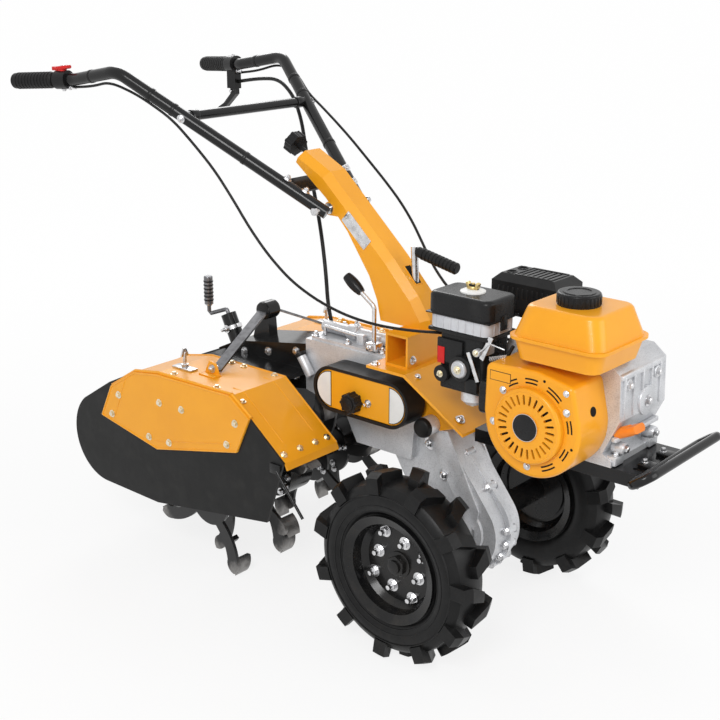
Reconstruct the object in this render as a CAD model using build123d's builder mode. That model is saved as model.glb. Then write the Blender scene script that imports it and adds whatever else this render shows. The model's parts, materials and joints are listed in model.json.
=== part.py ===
# Hand tractor: two driven wheels, a small engine ahead of the axle, a rotary tiller behind it
# and a tilting handlebar. Millimetres, +X forward to the bumper, +Y to the left, +Z up.
import os
from math import cos, hypot, radians, sin, tan

from build123d import *

os.makedirs("parts", exist_ok=True)

# Stations
axle_x = 326.288  # axle, ahead of the middle of the machine's length
wheel_radius = 205.0  # to the tips of the lugs
rotor_x = -575.0  # rotor shaft, from the axle
rotor_radius = 190.0  # to the tips of the tines
engine_x = 254.0  # crankshaft, from the axle
crank_z = 553.0

# Wheels
track_half = 254.0  # centre plane of each wheel
tyre_width = 99.0
lug_height = 20.0
lug_count = 11  # on each side of the tread
bead_radius = 102.0
flange_radius = 116.0
rim_half = 40.0
disc_thickness = 8.0
hub_bore = 20.0
hub_flange_radius = 74.0
hub_flange_thickness = 6.0
hub_tube_radius = 26.0
shaft_radius = 15.0
running_fit = 0.05  # radial, shaft in bore
soft_gap = 0.3  # between curved faces that meet

# Gear case
case_half = 45.0
case_foot_radius = 90.0
case_head = (-190.0, 475.0)
case_head_radius = 72.0
boss_radius = 34.0
boss_end = 80.0
boss_clearance = 5.0
box_half = 60.0
box_rear = -440.0
case_top = 552.0
lid_thickness = 8.0
flange_half = 6.0
flange_proud = 12.0

# Belt cover
cover_length = 268.0
cover_height = 104.0
cover_x = -228.0
cover_z = 475.0
cover_face = 120.0  # outer face, from the centre plane
cover_depth = 10.0
cover_rim = 7.0
cover_knob_radius = 21.0

# Engine bed, box bracket and column
bed_half = 130.0
sheet = 6.0
bed_rear = -200.0
bed_knee = -100.0
bed_front = 56.0
bed_front_z = 464.0
box_width = 60.0
box_front = -112.0
box_top = 629.0
box_wall = 5.0
box_length_half = 100.0
column_half = 40.0
column_chamfer = 16.0
case_bolt_radius = 9.0
case_bolt_half = 13.0

# Engine
engine_base_z = 466.0
frame_plate = 10.0
frame_half = 86.0
crankcase_half = 88.0
shroud_radius = 106.0
shroud_front = 190.0
shroud_depth = 92.0
recoil_radius = 74.0
recoil_depth = 16.0
emblem_radius = 27.0
louvre_count = 26
louvre_middle = 53.0
louvre_length = 20.0
ring_slot_radius = 91.0
ring_slot_depth = 6.0
fin_count = 5
fin_thickness = 3.0
fin_step = 11.0
cylinder_half = 55.0
tank_lip_z = 715.0
tank_bottom_z = 672.0
tank_top_z = 776.0
cap_radius = 41.0
cap_height = 24.0

# Tiller
tiller_half = 294.0
hood_inner = 130.0
hood_sheet = 4.0
guard_thickness = 6.0
panel_thickness = 4.0
tiller_case_half = 60.0
chain_case_half = 38.0
chain_case_radius = 60.0
rotor_shaft_radius = 16.0
flange_disc_radius = 62.0
flange_disc = 8.0
tine_count = 4  # on each flange
tine_thickness = 8.0
tine_reach = 46.0
flange_rows = (92.0, 168.0, 244.0)

# Handlebar
bar_radius = 14.0
pivot = (-384.0, 856.0)
pivot_bolt_radius = 6.0
bar_root_y = 64.0
crossbar_at = (-671.0, 194.0, 1045.0)
bar_bend = (-812.0, 262.0, 1138.0)
grip_start = (-960.0, 262.0, 1111.0)
grip_end = (-1132.0, 300.0, 1099.0)
bend_radius = 55.0
bend_share = 0.45  # of the shorter run that each bend of a cable takes
grip_radius = 18.0
ear_radius = 15.0
ear_thickness = 5.0
root_overrun = 13.0
bolt_reach = bar_root_y + bar_radius + 7.0

# Heights that follow from the sizes above
axle_z = wheel_radius
tine_step = 360.0 / tine_count
rotor_z = rotor_radius * cos(radians(tine_step / 4))
tip_lead = 4.5  # degrees that the tip of a tine runs ahead of its stem
tine_tip = (rotor_radius * cos(radians(tip_lead)), rotor_radius * sin(radians(tip_lead)))

# Sketch planes: side looks along +Y with the axle at x = 0, level lies on the ground under the axle
side = Plane(origin=(axle_x, 0, 0), x_dir=(1, 0, 0), z_dir=(0, -1, 0))
level = Plane(origin=(axle_x, 0, 0))


def save(part, label):
    """Names a finished piece and writes it."""
    part.label = label
    export_step(part, "parts/" + label + ".step")


def cross_axis(x, z):
    """An axis along Y through a point of the side plane."""
    return Axis((axle_x + x, 0, z), (0, 1, 0))


def side_at(y, x=0.0, z=0.0, sign=-1):
    """A side plane at a distance from the centre plane, facing out on the side that sign names."""
    return Plane(origin=(axle_x + x, sign * y, z), x_dir=(1, 0, 0), z_dir=(0, sign, 0))


def section(sign):
    """A plane through the axle, local x out along the axle and local y up."""
    return Plane(origin=(axle_x, 0, axle_z), x_dir=(0, sign, 0), z_dir=(sign, 0, 0))


def at(point, sign=1):
    """A point given from the axle, on the side that sign names."""
    return (axle_x + point[0], sign * point[1], point[2])


# Wheels
lug_root = wheel_radius - lug_height - 8.0
tread_radius = wheel_radius - lug_height
with BuildPart() as lug:
    with BuildSketch(Plane.XZ):
        with BuildLine():
            Polyline(
                (lug_root, -10.0),
                (wheel_radius - 2.0, -10.0),
                (wheel_radius, 30.0),
                (wheel_radius - 8.0, tyre_width / 2),
                (tread_radius - 22.0, tyre_width / 2),
                (tread_radius - 22.0, tyre_width / 2 - 8.0),
                close=True,
            )
        make_face()
    revolve(axis=Axis.Z, revolution_arc=360)
    with BuildSketch(Plane.YZ.offset(lug_root - 30.0)):
        with BuildLine():
            Polyline((-22, -12), (2, -12), (26, 30), (26, 60), (-4, 60), (-4, 34), close=True)
        make_face()
    extrude(amount=80.0, mode=Mode.INTERSECT)

for name, sign in (("right", -1), ("left", 1)):
    disc_inner = track_half - disc_thickness / 2
    boss_tip = boss_end + boss_clearance
    wheel_plane = section(sign)

    with BuildPart() as hub:
        with BuildSketch(wheel_plane):
            with BuildLine():
                Polyline(
                    (case_half - 20.0, 0),
                    (case_half - 20.0, shaft_radius),
                    (boss_tip, shaft_radius),
                    (boss_tip, hub_tube_radius),
                    (disc_inner - hub_flange_thickness, hub_tube_radius),
                    (disc_inner - hub_flange_thickness, hub_flange_radius),
                    (disc_inner, hub_flange_radius),
                    (disc_inner, hub_bore - soft_gap),
                    (track_half + 14.0, hub_bore - soft_gap),
                    (track_half + 18.0, hub_bore - 4.0),
                    (track_half + 18.0, 0),
                    close=True,
                )
            make_face()
        revolve(axis=cross_axis(0, axle_z))
    save(hub.part, name + "_hub")

    with BuildPart() as rim:
        with BuildSketch(wheel_plane):
            with BuildLine():
                half = [
                    (disc_thickness / 2, 82.0),
                    (16.0, bead_radius - 9.0),
                    (rim_half - 2.0, bead_radius - 5.0),
                    (rim_half + 3.5, flange_radius - 6.0),
                    (rim_half + 6.0, flange_radius),
                    (rim_half + 2.5, flange_radius),
                    (rim_half - 2.0, bead_radius),
                ]
                outer = [(track_half + a, r) for a, r in half]
                inner = [(track_half - a, r) for a, r in reversed(half)]
                Polyline(
                    (track_half - disc_thickness / 2, hub_bore),
                    (track_half + disc_thickness / 2, hub_bore),
                    *outer,
                    *inner,
                    close=True,
                )
            make_face()
        revolve(axis=cross_axis(0, axle_z))
    save(rim.part, name + "_rim")

    wheel_face = side_at(track_half, 0, axle_z, sign)
    with BuildPart(wheel_face) as tyre:
        with BuildSketch(wheel_plane):
            with BuildLine():
                bead = bead_radius + soft_gap
                heel = rim_half - 2.5
                wall = tyre_width / 2 - 2.0
                shoulder = tread_radius - 6.0
                outer_wall = ThreePointArc(
                    (track_half + heel, bead + 16.0),
                    (track_half + wall, 150.0),
                    (track_half + wall - 12.0, shoulder),
                )
                inner_wall = ThreePointArc(
                    (track_half - heel, bead + 16.0),
                    (track_half - wall, 150.0),
                    (track_half - wall + 12.0, shoulder),
                )
                ThreePointArc(outer_wall @ 1, (track_half, tread_radius), inner_wall @ 1)
                Polyline(outer_wall @ 0, (track_half + heel, bead), (track_half - heel, bead), inner_wall @ 0)
            make_face()
        revolve(axis=cross_axis(0, axle_z))
        with PolarLocations(0, lug_count):
            add(lug.part)
        with PolarLocations(0, lug_count, start_angle=180.0 / lug_count):
            add(lug.part.mirror(Plane.XY))
    save(tyre.part, name + "_tyre")


# Gear case: a leg round the axle, a head, and a box behind it that carries the tiller
lid_rear = box_rear + 10.0
lid_front = bed_rear - 8.0
with BuildPart() as gear_case:
    with BuildSketch(side):
        with Locations((0, axle_z)):
            Circle(case_foot_radius)
        with Locations(case_head):
            Circle(case_head_radius)
        make_hull()
    extrude(amount=case_half, both=True)
    with BuildSketch(side):
        with BuildLine():
            Polyline(
                (box_rear, case_top),
                (box_rear, 430.0),
                (-320.0, 400.0),
                (-286.0, 338.0),
                (-130.0, 338.0),
                (-112.0, case_top - 40.0),
                (-112.0, case_top),
                close=True,
            )
        make_face()
    extrude(amount=box_half, both=True)
    with BuildSketch(side):
        with Locations((0, axle_z)):
            Circle(case_foot_radius + flange_proud)
        with Locations((case_head[0] + 30.0, case_head[1] - 60.0)):
            Circle(case_head_radius)
        make_hull()
    extrude(amount=flange_half, both=True)
    with BuildSketch(side):
        with Locations((0, axle_z)):
            with PolarLocations(case_foot_radius + 5.0, 7, start_angle=-112.0, angular_range=140.0):
                Circle(case_bolt_radius)
        with Locations((40.0, 303.0), (-20.0, 366.0), (-137.0, 246.0), (-185.0, 325.0)):
            Circle(case_bolt_radius)
    extrude(amount=case_bolt_half, both=True)
    with BuildSketch(side):
        with Locations((0, axle_z)):
            Circle(boss_radius)
    extrude(amount=boss_end, both=True)
    with BuildSketch(side):
        with Locations((0, axle_z)):
            Circle(shaft_radius + running_fit)
    extrude(amount=boss_end, both=True, mode=Mode.SUBTRACT)
save(gear_case.part, "gear_case")

with BuildPart() as lid:
    with BuildSketch(level.offset(case_top)):
        with Locations(((lid_rear + lid_front) / 2, 0)):
            Rectangle(lid_front - lid_rear, 2 * box_half - 8.0)
        fillet(vertices(), 8.0)
    extrude(amount=lid_thickness)
save(lid.part, "gearbox_lid")

# Belt cover on the near side
cover_base = side_at(box_half, cover_x, cover_z)
with BuildPart() as seal:
    with BuildSketch(cover_base):
        SlotOverall(cover_length, cover_height)
    extrude(amount=cover_face - box_half)
    with BuildSketch(side_at(cover_face, cover_x, cover_z)):
        SlotOverall(cover_length - 2 * cover_rim, cover_height - 2 * cover_rim)
    extrude(amount=-cover_depth, mode=Mode.SUBTRACT)
save(seal.part, "belt_cover_seal")

with BuildPart() as cover:
    with BuildSketch(side_at(cover_face - cover_depth, cover_x, cover_z)):
        SlotOverall(cover_length - 2 * cover_rim - 0.6, cover_height - 2 * cover_rim - 0.6)
    extrude(amount=cover_depth - 2.0)
    fillet(cover.faces().sort_by(Axis.Y)[0].edges(), 3.0)
save(cover.part, "belt_cover")

with BuildPart() as cover_knob:
    with BuildSketch(side_at(cover_face - 2.0, -243.0, 461.0)):
        Circle(cover_knob_radius)
        with PolarLocations(cover_knob_radius - 1.0, 8):
            Circle(4.0)
    extrude(amount=24.0)
    fillet(cover_knob.faces().sort_by(Axis.Y)[0].edges(), 3.0)
save(cover_knob.part, "belt_cover_knob")

# Engine bed: a shelf on the gear case that slopes down to the engine frame
gusset = [
    (box_front + 1.0, case_top + 1.0),
    (box_front + 1.0, 440.0),
    (-60.0, 420.0),
    (bed_front, bed_front_z - 1.0),
    (bed_knee, case_top + 1.0),
]
with BuildPart() as bed:
    with BuildSketch(side):
        with BuildLine():
            Polyline(
                (bed_rear, case_top),
                (bed_knee, case_top),
                (bed_front, bed_front_z - sheet),
                (bed_front, bed_front_z),
                (bed_knee + 3.0, case_top + sheet),
                (bed_rear, case_top + sheet),
                close=True,
            )
        make_face()
    extrude(amount=bed_half, both=True)
    for sign in (-1, 1):
        with BuildSketch(side_at(case_half, 0, 0, sign)):
            with BuildLine():
                Polyline(*[(x, -sign * z) for x, z in gusset], close=True)
            make_face()
        extrude(amount=sheet)
save(bed.part, "engine_bed")

box_floor = case_top + sheet
with BuildPart() as bracket:
    with BuildSketch(side):
        with Locations((box_front - box_width / 2, (box_floor + box_top) / 2)):
            Rectangle(box_width, box_top - box_floor)
            Rectangle(box_width - 2 * box_wall, box_top - box_floor - 2 * box_wall, mode=Mode.SUBTRACT)
    extrude(amount=box_length_half, both=True)
save(bracket.part, "box_bracket")

# Column: a folded channel, open behind, that narrows towards the handlebar
column_front = [
    (-470.0, 972.0),
    (-395.0, 934.0),
    (-214.0, 769.0),
    (-145.0, 697.0),
    (box_front, 650.0),
    (box_front, box_top),
]
column_back = [
    (-236.0, box_top),
    (-246.0, 673.0),
    (-269.0, 724.0),
    (-332.0, 813.0),
    (-393.0, 877.0),
    (-483.0, 947.0),
]
front_middles = [((a[0] + b[0]) / 2, (a[1] + b[1]) / 2) for a, b in zip(column_front, column_front[1:])]
with BuildPart() as column:
    with BuildSketch(side):
        with BuildLine():
            Polyline(*column_back, *column_front, close=True)
        make_face()
    extrude(amount=column_half, both=True)
    corners = [
        edge
        for edge in column.edges()
        if abs(abs(edge.center().Y) - column_half) < 0.1
        and any(hypot(edge.center().X - axle_x - x, edge.center().Z - z) < 1 for x, z in front_middles)
    ]
    chamfer(corners, column_chamfer)
    with BuildSketch(side):
        with Locations(pivot, (pivot[0] + 30.0, pivot[1])):
            Circle(ear_radius)
        make_hull()
    extrude(amount=column_half, both=True)
    with BuildSketch(side):
        with Locations((pivot[0] - 6.0, pivot[1] - 3.0)):
            Rectangle(26.0, 60.0)
    extrude(amount=column_half - ear_thickness, both=True, mode=Mode.SUBTRACT)
    with BuildSketch(side):
        with Locations(pivot):
            Circle(pivot_bolt_radius)
    extrude(amount=column_half, both=True, mode=Mode.SUBTRACT)
save(column.part, "column")

with BuildPart() as pivot_bolt:
    with BuildSketch(side):
        with Locations(pivot):
            Circle(pivot_bolt_radius)
    extrude(amount=bolt_reach, both=True)
    for sign in (-1, 1):
        with BuildSketch(side.offset(-sign * bolt_reach)):
            with Locations(pivot):
                RegularPolygon(9.0, 6)
        extrude(amount=-sign * 7.0)
save(pivot_bolt.part, "pivot_bolt")

star_root = Plane(origin=(axle_x - 476.0, 0, 958.0), z_dir=(-0.9, 0, 0.44))
star_stem = 40.0
with BuildPart() as star_knob:
    with BuildSketch(star_root):
        Circle(5.0)
    extrude(amount=star_stem)
    with BuildSketch(star_root.offset(star_stem)):
        Circle(24.0)
        with PolarLocations(22.0, 7):
            Circle(5.0)
    extrude(amount=22.0)
    add(column.part, mode=Mode.SUBTRACT)
save(star_knob.part, "star_knob")

# Shift lever through the slot in the column, tiller lever on the lid
with BuildPart() as shift_lever:
    with BuildSketch(Plane(origin=(axle_x - 172.0, 0, 700.0), z_dir=(-0.05, 0, 1))):
        Circle(8.0)
    extrude(amount=96.0)
    add(column.part, mode=Mode.SUBTRACT)
save(shift_lever.part, "shift_lever")

with BuildPart() as shift_grip:
    with BuildSketch(Plane(origin=(axle_x - 168.0, 0, 786.0), x_dir=(0, 1, 0), z_dir=(0.98, 0, -0.2))):
        Circle(11.5)
    extrude(amount=108.0)
    fillet(shift_grip.edges(), 3.0)
    add(shift_lever.part, mode=Mode.SUBTRACT)
save(shift_grip.part, "shift_grip")

tiller_lever_y = -50.0
with BuildPart() as tiller_lever:
    with BuildLine():
        rod = FilletPolyline(
            (axle_x - 245.0, tiller_lever_y, case_top + lid_thickness),
            (axle_x - 245.0, tiller_lever_y, 660.0),
            (axle_x - 282.0, tiller_lever_y, 686.0),
            radius=14.0,
        )
    with BuildSketch(Plane(origin=rod @ 0, z_dir=rod % 0)):
        Circle(5.0)
    sweep()
save(tiller_lever.part, "tiller_lever")

with BuildPart() as tiller_knob:
    tip = rod @ 1
    away = rod % 1
    with BuildSketch(Plane(origin=tip, z_dir=away)):
        Circle(9.0)
    with BuildSketch(Plane(origin=tip + away * 26.0, z_dir=away)):
        Circle(13.0)
    with BuildSketch(Plane(origin=tip + away * 52.0, z_dir=away)):
        Circle(10.0)
    loft()
save(tiller_knob.part, "tiller_knob")

# Engine frame and bumper
frame_front = 430.0
frame_length = frame_front - bed_front
frame_middle = (bed_front + frame_front) / 2
frame_flange = 6.0
frame_drop = 18.0
front_bolt_x = 410.0
front_bolt_y = 60.0
front_bolt_radius = 5.5
with BuildPart() as frame:
    with BuildSketch(level.offset(engine_base_z - frame_plate)):
        with Locations((frame_middle, 0)):
            Rectangle(frame_length, 2 * frame_half)
        with Locations((front_bolt_x, front_bolt_y), (front_bolt_x, -front_bolt_y)):
            Circle(front_bolt_radius, mode=Mode.SUBTRACT)
    extrude(amount=frame_plate)
    with BuildSketch(level.offset(engine_base_z - frame_plate)):
        with Locations((frame_middle, 0)):
            with GridLocations(0, 2 * frame_half - frame_flange, 1, 2):
                Rectangle(frame_length, frame_flange)
    extrude(amount=-frame_drop)
save(frame.part, "engine_frame")

bumper_radius = 9.0
bumper_length = 310.0
bumper_width = 66.0
bumper_bar = 4 * bumper_radius
loop_plane = Plane(
    origin=(axle_x + frame_front + 4.0, 0, engine_base_z - frame_plate / 2),
    x_dir=(0, 1, 0),
    z_dir=(sin(radians(35)), 0, -cos(radians(35))),
)
with BuildPart() as bumper:
    with BuildSketch(loop_plane):
        with Locations((0, bumper_width / 2)):
            SlotOverall(bumper_length, bumper_width)
            SlotOverall(bumper_length - bumper_bar, bumper_width - bumper_bar, mode=Mode.SUBTRACT)
    extrude(amount=bumper_radius, both=True)
    fillet(bumper.edges(), bumper_radius - 1.5)
save(bumper.part, "bumper")

# Engine
cylinder = Plane(origin=(axle_x + 170.0, 0, 600.0), x_dir=(0, 1, 0), z_dir=(-0.92, 0, 0.39))
cylinder_reach = 60.0
muffler_base = 690.0
exhaust_base = 640.0
exhaust_at = (128.0, 30.0)
with BuildPart() as crankcase:
    with BuildSketch(side):
        with BuildLine():
            Polyline(
                (162.0, engine_base_z),
                (372.0, engine_base_z),
                (372.0, engine_base_z + 12.0),
                (352.0, engine_base_z + 24.0),
                (384.0, 560.0),
                (380.0, 650.0),
                (352.0, tank_bottom_z),
                (200.0, tank_bottom_z),
                (162.0, 640.0),
                (165.0, engine_base_z + 12.0),
                close=True,
            )
        make_face()
    extrude(amount=crankcase_half, both=True)
    with BuildSketch(cylinder):
        RectangleRounded(2 * cylinder_half - 14.0, 88.0, 20.0)
    extrude(amount=cylinder_reach)
    for k in range(fin_count):
        with BuildSketch(cylinder.offset(cylinder_reach - 6.0 - k * fin_step)):
            RectangleRounded(2 * cylinder_half, 104.0, 12.0)
        extrude(amount=fin_thickness)
    with BuildSketch(cylinder.offset(cylinder_reach)):
        RectangleRounded(84.0, 74.0, 14.0)
    extrude(amount=26.0)
    with BuildSketch(level.offset(exhaust_base)):
        with Locations(exhaust_at):
            Circle(17.0)
    extrude(amount=muffler_base - exhaust_base)
    with BuildSketch(side_at(crankcase_half, engine_x, crank_z, 1)):
        Circle(58.0)
    extrude(amount=12.0)
    with BuildSketch(side_at(crankcase_half + 12.0, engine_x, crank_z, 1)):
        Circle(24.0)
    extrude(amount=18.0)
    with BuildSketch(side_at(crankcase_half, engine_x, crank_z, 1)):
        with PolarLocations(70.0, 6, start_angle=30.0):
            Circle(9.0)
    extrude(amount=6.0)
save(crankcase.part, "crankcase")

shroud_back = crankcase_half
ring_slot_starts = (-74.0, -28.0, 14.0, 56.0, 108.0)
with BuildPart() as shroud:
    with BuildSketch(side_at(shroud_back)):
        with Locations((engine_x, crank_z)):
            Circle(shroud_radius)
        with Locations((162.0, 641.0), (330.0, 632.0), (160.0, 560.0)):
            Circle(14.0)
        make_hull()
    extrude(amount=shroud_front - shroud_back)
    fillet(shroud.faces().sort_by(Axis.Y)[0].edges(), 9.0)
    with BuildSketch(side_at(shroud_front, engine_x, crank_z)):
        for start in ring_slot_starts:
            SlotArc(CenterArc((0, 0), ring_slot_radius, start, 34.0), 7.0)
    extrude(amount=-ring_slot_depth, mode=Mode.SUBTRACT)
save(shroud.part, "fan_housing")

with BuildPart() as recoil:
    with BuildSketch(side_at(shroud_front, engine_x, crank_z)):
        Circle(recoil_radius)
    extrude(amount=recoil_depth)
    fillet(recoil.faces().sort_by(Axis.Y)[0].edges(), 6.0)
    with BuildSketch(side_at(shroud_front + recoil_depth, engine_x, crank_z)):
        with PolarLocations(louvre_middle, louvre_count):
            SlotOverall(louvre_length, 4.6)
    extrude(amount=-6.0, mode=Mode.SUBTRACT)
    with BuildSketch(side_at(shroud_front + recoil_depth, engine_x, crank_z)):
        Circle(emblem_radius)
    extrude(amount=2.0)
save(recoil.part, "recoil_cover")

with BuildPart() as handle:
    with BuildSketch(Plane(origin=(axle_x + 148.0, -160.0, 572.0), z_dir=(-1, 0, 0))):
        Circle(6.0)
    extrude(amount=8.0)
    with BuildSketch(Plane(origin=(axle_x + 140.0, -160.0, 572.0), x_dir=(0, 1, 0), z_dir=(-1, 0, 0))):
        SlotOverall(66.0, 24.0, rotation=90.0)
    extrude(amount=20.0)
    fillet(handle.faces().sort_by(Axis.X)[0].edges(), 5.0)
    add(shroud.part, mode=Mode.SUBTRACT)
save(handle.part, "recoil_handle")

tank_x = 291.0
tank_y = -94.0
tank_length = 208.0
tank_width = 196.0
with BuildPart() as tank:
    with BuildSketch(level.offset(tank_bottom_z)):
        with Locations((tank_x, tank_y)):
            RectangleRounded(tank_length - 36.0, tank_width - 30.0, 24.0)
    with BuildSketch(level.offset(tank_lip_z - 3.0)):
        with Locations((tank_x, tank_y)):
            RectangleRounded(tank_length - 14.0, tank_width - 14.0, 28.0)
    loft()
    with BuildSketch(level.offset(tank_lip_z - 3.0)):
        with Locations((tank_x, tank_y)):
            RectangleRounded(tank_length, tank_width, 32.0)
    extrude(amount=6.0)
    with BuildSketch(level.offset(tank_lip_z + 3.0)):
        with Locations((tank_x, tank_y)):
            RectangleRounded(tank_length - 14.0, tank_width - 14.0, 28.0)
    with BuildSketch(level.offset(tank_top_z)):
        with Locations((tank_x, tank_y)):
            RectangleRounded(tank_length - 50.0, tank_width - 46.0, 30.0)
    loft()
    fillet(tank.faces().sort_by(Axis.Z)[-1].edges(), 12.0)
save(tank.part, "fuel_tank")

with BuildPart() as cap:
    with BuildSketch(level.offset(tank_top_z)):
        with Locations((tank_x - 1.0, tank_y - 6.0)):
            Circle(cap_radius)
    extrude(amount=cap_height)
    fillet(cap.faces().sort_by(Axis.Z)[-1].edges(), 4.0)
save(cap.part, "tank_cap")

dipstick_root = Plane(origin=(axle_x + 370.0, -70.0, 530.0), x_dir=(0, 1, 0), z_dir=(0.9, 0, 0.44))
dipstick_neck = 34.0
with BuildPart() as dipstick:
    with BuildSketch(dipstick_root):
        Circle(11.0)
    extrude(amount=dipstick_neck)
    with BuildSketch(dipstick_root.offset(dipstick_neck)):
        SlotOverall(40.0, 16.0)
    extrude(amount=18.0)
    add(crankcase.part, mode=Mode.SUBTRACT)
save(dipstick.part, "dipstick")

# Air cleaner over the carburettor
filter_x = 50.0
filter_y = -100.0
filter_base = 685.0
filter_lid_base = 712.0
filter_lid_height = 45.0
clamp_disc = 5.0
carburettor_base = 560.0
with BuildPart() as carburettor:
    with BuildSketch(level.offset(carburettor_base)):
        with Locations((filter_x + 5.0, -97.5)):
            RectangleRounded(110.0, 85.0, 10.0)
    extrude(amount=filter_base - carburettor_base)
    add(crankcase.part, mode=Mode.SUBTRACT)
save(carburettor.part, "carburettor")

with BuildPart() as filter_ring:
    with BuildSketch(level.offset(filter_base)):
        with Locations((filter_x, filter_y)):
            RectangleRounded(144.0, 96.0, 18.0)
    extrude(amount=filter_lid_base - filter_base)
    add(crankcase.part, mode=Mode.SUBTRACT)
save(filter_ring.part, "air_cleaner_ring")

with BuildPart() as filter_lid:
    with BuildSketch(level.offset(filter_lid_base)):
        with Locations((filter_x, filter_y)):
            RectangleRounded(152.0, 102.0, 20.0)
    extrude(amount=filter_lid_height)
    fillet(filter_lid.faces().sort_by(Axis.Z)[-1].edges(), 10.0)
    with BuildSketch(level.offset(filter_lid_base + filter_lid_height)):
        with Locations((filter_x, filter_y)):
            Circle(17.0)
    extrude(amount=clamp_disc)
    with BuildSketch(level.offset(filter_lid_base + filter_lid_height + clamp_disc)):
        with Locations((filter_x, filter_y)):
            SlotOverall(26.0, 8.0)
    extrude(amount=10.0)
save(filter_lid.part, "air_cleaner_lid")

muffler_at = (98.0, 55.0)
muffler_length = 154.0
muffler_width = 100.0
muffler_height = 82.0
with BuildPart() as muffler:
    with BuildSketch(level.offset(muffler_base)):
        with Locations(muffler_at):
            Rectangle(muffler_length, muffler_width)
    extrude(amount=muffler_height)
    chamfer(muffler.faces().sort_by(Axis.Z)[-1].edges(), 14.0)
    with BuildSketch(level.offset(muffler_base + muffler_height)):
        with Locations((muffler_at[0] + 12.0, muffler_at[1])):
            with GridLocations(12.0, 0, 6, 1):
                SlotOverall(56.0, 5.0, rotation=90.0)
        with Locations((muffler_at[0] - 48.0, muffler_at[1])):
            with GridLocations(0, 40.0, 1, 2):
                Circle(9.0)
    extrude(amount=-5.0, mode=Mode.SUBTRACT)
save(muffler.part, "muffler")

# Tiller: case, hoods, panels, guards and apron
hood_top = [(-857.0, 414.0), (-760.0, 461.0), (-678.0, 478.0), (-439.0, 478.0), (-285.0, 360.0)]
tail_low = [(-337.0, 208.0), (-700.0, 148.0), (-890.0, 151.0)]
tail_back = (-998.0, 264.0)
tail_high = (-957.0, 351.0)
hood_lip = (-279.0, 344.0)
platform_top = 476.0
with BuildPart() as tiller_case:
    with BuildSketch(side):
        with BuildLine():
            Polyline(
                (box_rear, 430.0),
                (box_rear, 539.0),
                (-668.0, 500.0),
                (-730.0, 470.0),
                (-730.0, 440.0),
                (-620.0, 400.0),
                close=True,
            )
        make_face()
    extrude(amount=tiller_case_half, both=True)
    with BuildSketch(side):
        with Locations((rotor_x, rotor_z)):
            Circle(chain_case_radius)
        with Locations((-560.0, 430.0)):
            Circle(chain_case_radius)
        make_hull()
    extrude(amount=chain_case_half, both=True)
    with BuildSketch(level.offset(platform_top - 10.0)):
        with Locations(((-700.0 + box_rear) / 2, 0)):
            Rectangle(260.0, 2 * hood_inner)
    extrude(amount=10.0)
    with BuildSketch(side):
        with Locations((rotor_x, rotor_z)):
            Circle(rotor_shaft_radius + running_fit)
    extrude(amount=chain_case_half, both=True, mode=Mode.SUBTRACT)
save(tiller_case.part, "tiller_case")


def guard_outline():
    """The closed outline of the side guard, in the side plane."""
    with BuildSketch(Plane.XY) as outline:
        with BuildLine():
            Polyline(tail_high, *hood_top, *tail_low)
            ThreePointArc(tail_low[-1], tail_back, tail_high)
        make_face()
    return outline.sketch


guard_face = guard_outline()
for name, sign in (("right", -1), ("left", 1)):
    with BuildPart() as hood:
        with BuildSketch(side):
            with BuildLine():
                Polyline(*[(x, z - hood_sheet / 2) for x, z in hood_top], hood_lip)
            trace(line_width=hood_sheet)
        extrude(amount=-sign * (tiller_half - hood_inner))
        shift = Location((0, sign * hood_inner, 0))
    save(hood.part.moved(shift), name + "_hood")

    with BuildPart() as guard:
        with BuildSketch(side.offset(-sign * tiller_half)):
            add(guard_face)
        extrude(amount=-sign * guard_thickness)
    save(guard.part, name + "_side_guard")

    panel_y = tiller_half + guard_thickness
    with BuildPart() as panel:
        with BuildSketch(side.offset(-sign * panel_y)):
            with BuildLine():
                Polyline(
                    (-848.0, 407.0),
                    (-760.0, 461.0),
                    (-678.0, 474.0),
                    (-439.0, 478.0),
                    (-380.0, 438.0),
                    (-421.0, 351.0),
                    (-689.0, 287.0),
                    (-888.0, 326.0),
                    close=True,
                )
            make_face()
        extrude(amount=-sign * panel_thickness)
    save(panel.part, name + "_side_panel")

apron_top = (tail_high[0] + 1.0, tail_high[1] - 2.0)
apron_back = (tail_back[0] + 2.0, tail_back[1])
apron_low = (tail_low[-1][0], tail_low[-1][1] + 2.0)
with BuildPart() as apron:
    with BuildSketch(side):
        with BuildLine():
            Line((hood_top[0][0] - 3.0, hood_top[0][1] - 5.0), apron_top)
            ThreePointArc(apron_top, apron_back, apron_low)
        trace(line_width=hood_sheet)
    extrude(amount=tiller_half, both=True)
save(apron.part, "rear_apron")

# Rotor: one shaft with its flanges and tines
with BuildPart() as tine:
    with BuildSketch(Plane.XY):
        with BuildLine():
            belly = ThreePointArc((50.0, -14.0), (110.0, -27.0), (rotor_radius - 30.0, -18.0))
            nose = ThreePointArc(belly @ 1, (rotor_radius - 13.0, -8.0), (rotor_radius - 6.0, 6.0))
            back = ThreePointArc(nose @ 1, (rotor_radius - 22.0, 17.0), (rotor_radius - 44.0, 10.0))
            stem = ThreePointArc(back @ 1, (105.0, 2.0), (50.0, 12.0))
            Line(stem @ 1, belly @ 0)
        make_face()
    extrude(amount=tine_thickness)
    with BuildSketch(Plane.XY.offset(tine_thickness)):
        with BuildLine():
            edge = ThreePointArc((rotor_radius - 36.0, -19.0), (rotor_radius - 15.0, -8.0), tine_tip)
            inner = ThreePointArc(tine_tip, (rotor_radius - 22.0, 2.0), (rotor_radius - 40.0, -9.0))
            Line(inner @ 1, edge @ 0)
        make_face()
    extrude(amount=tine_reach - tine_thickness)
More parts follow.
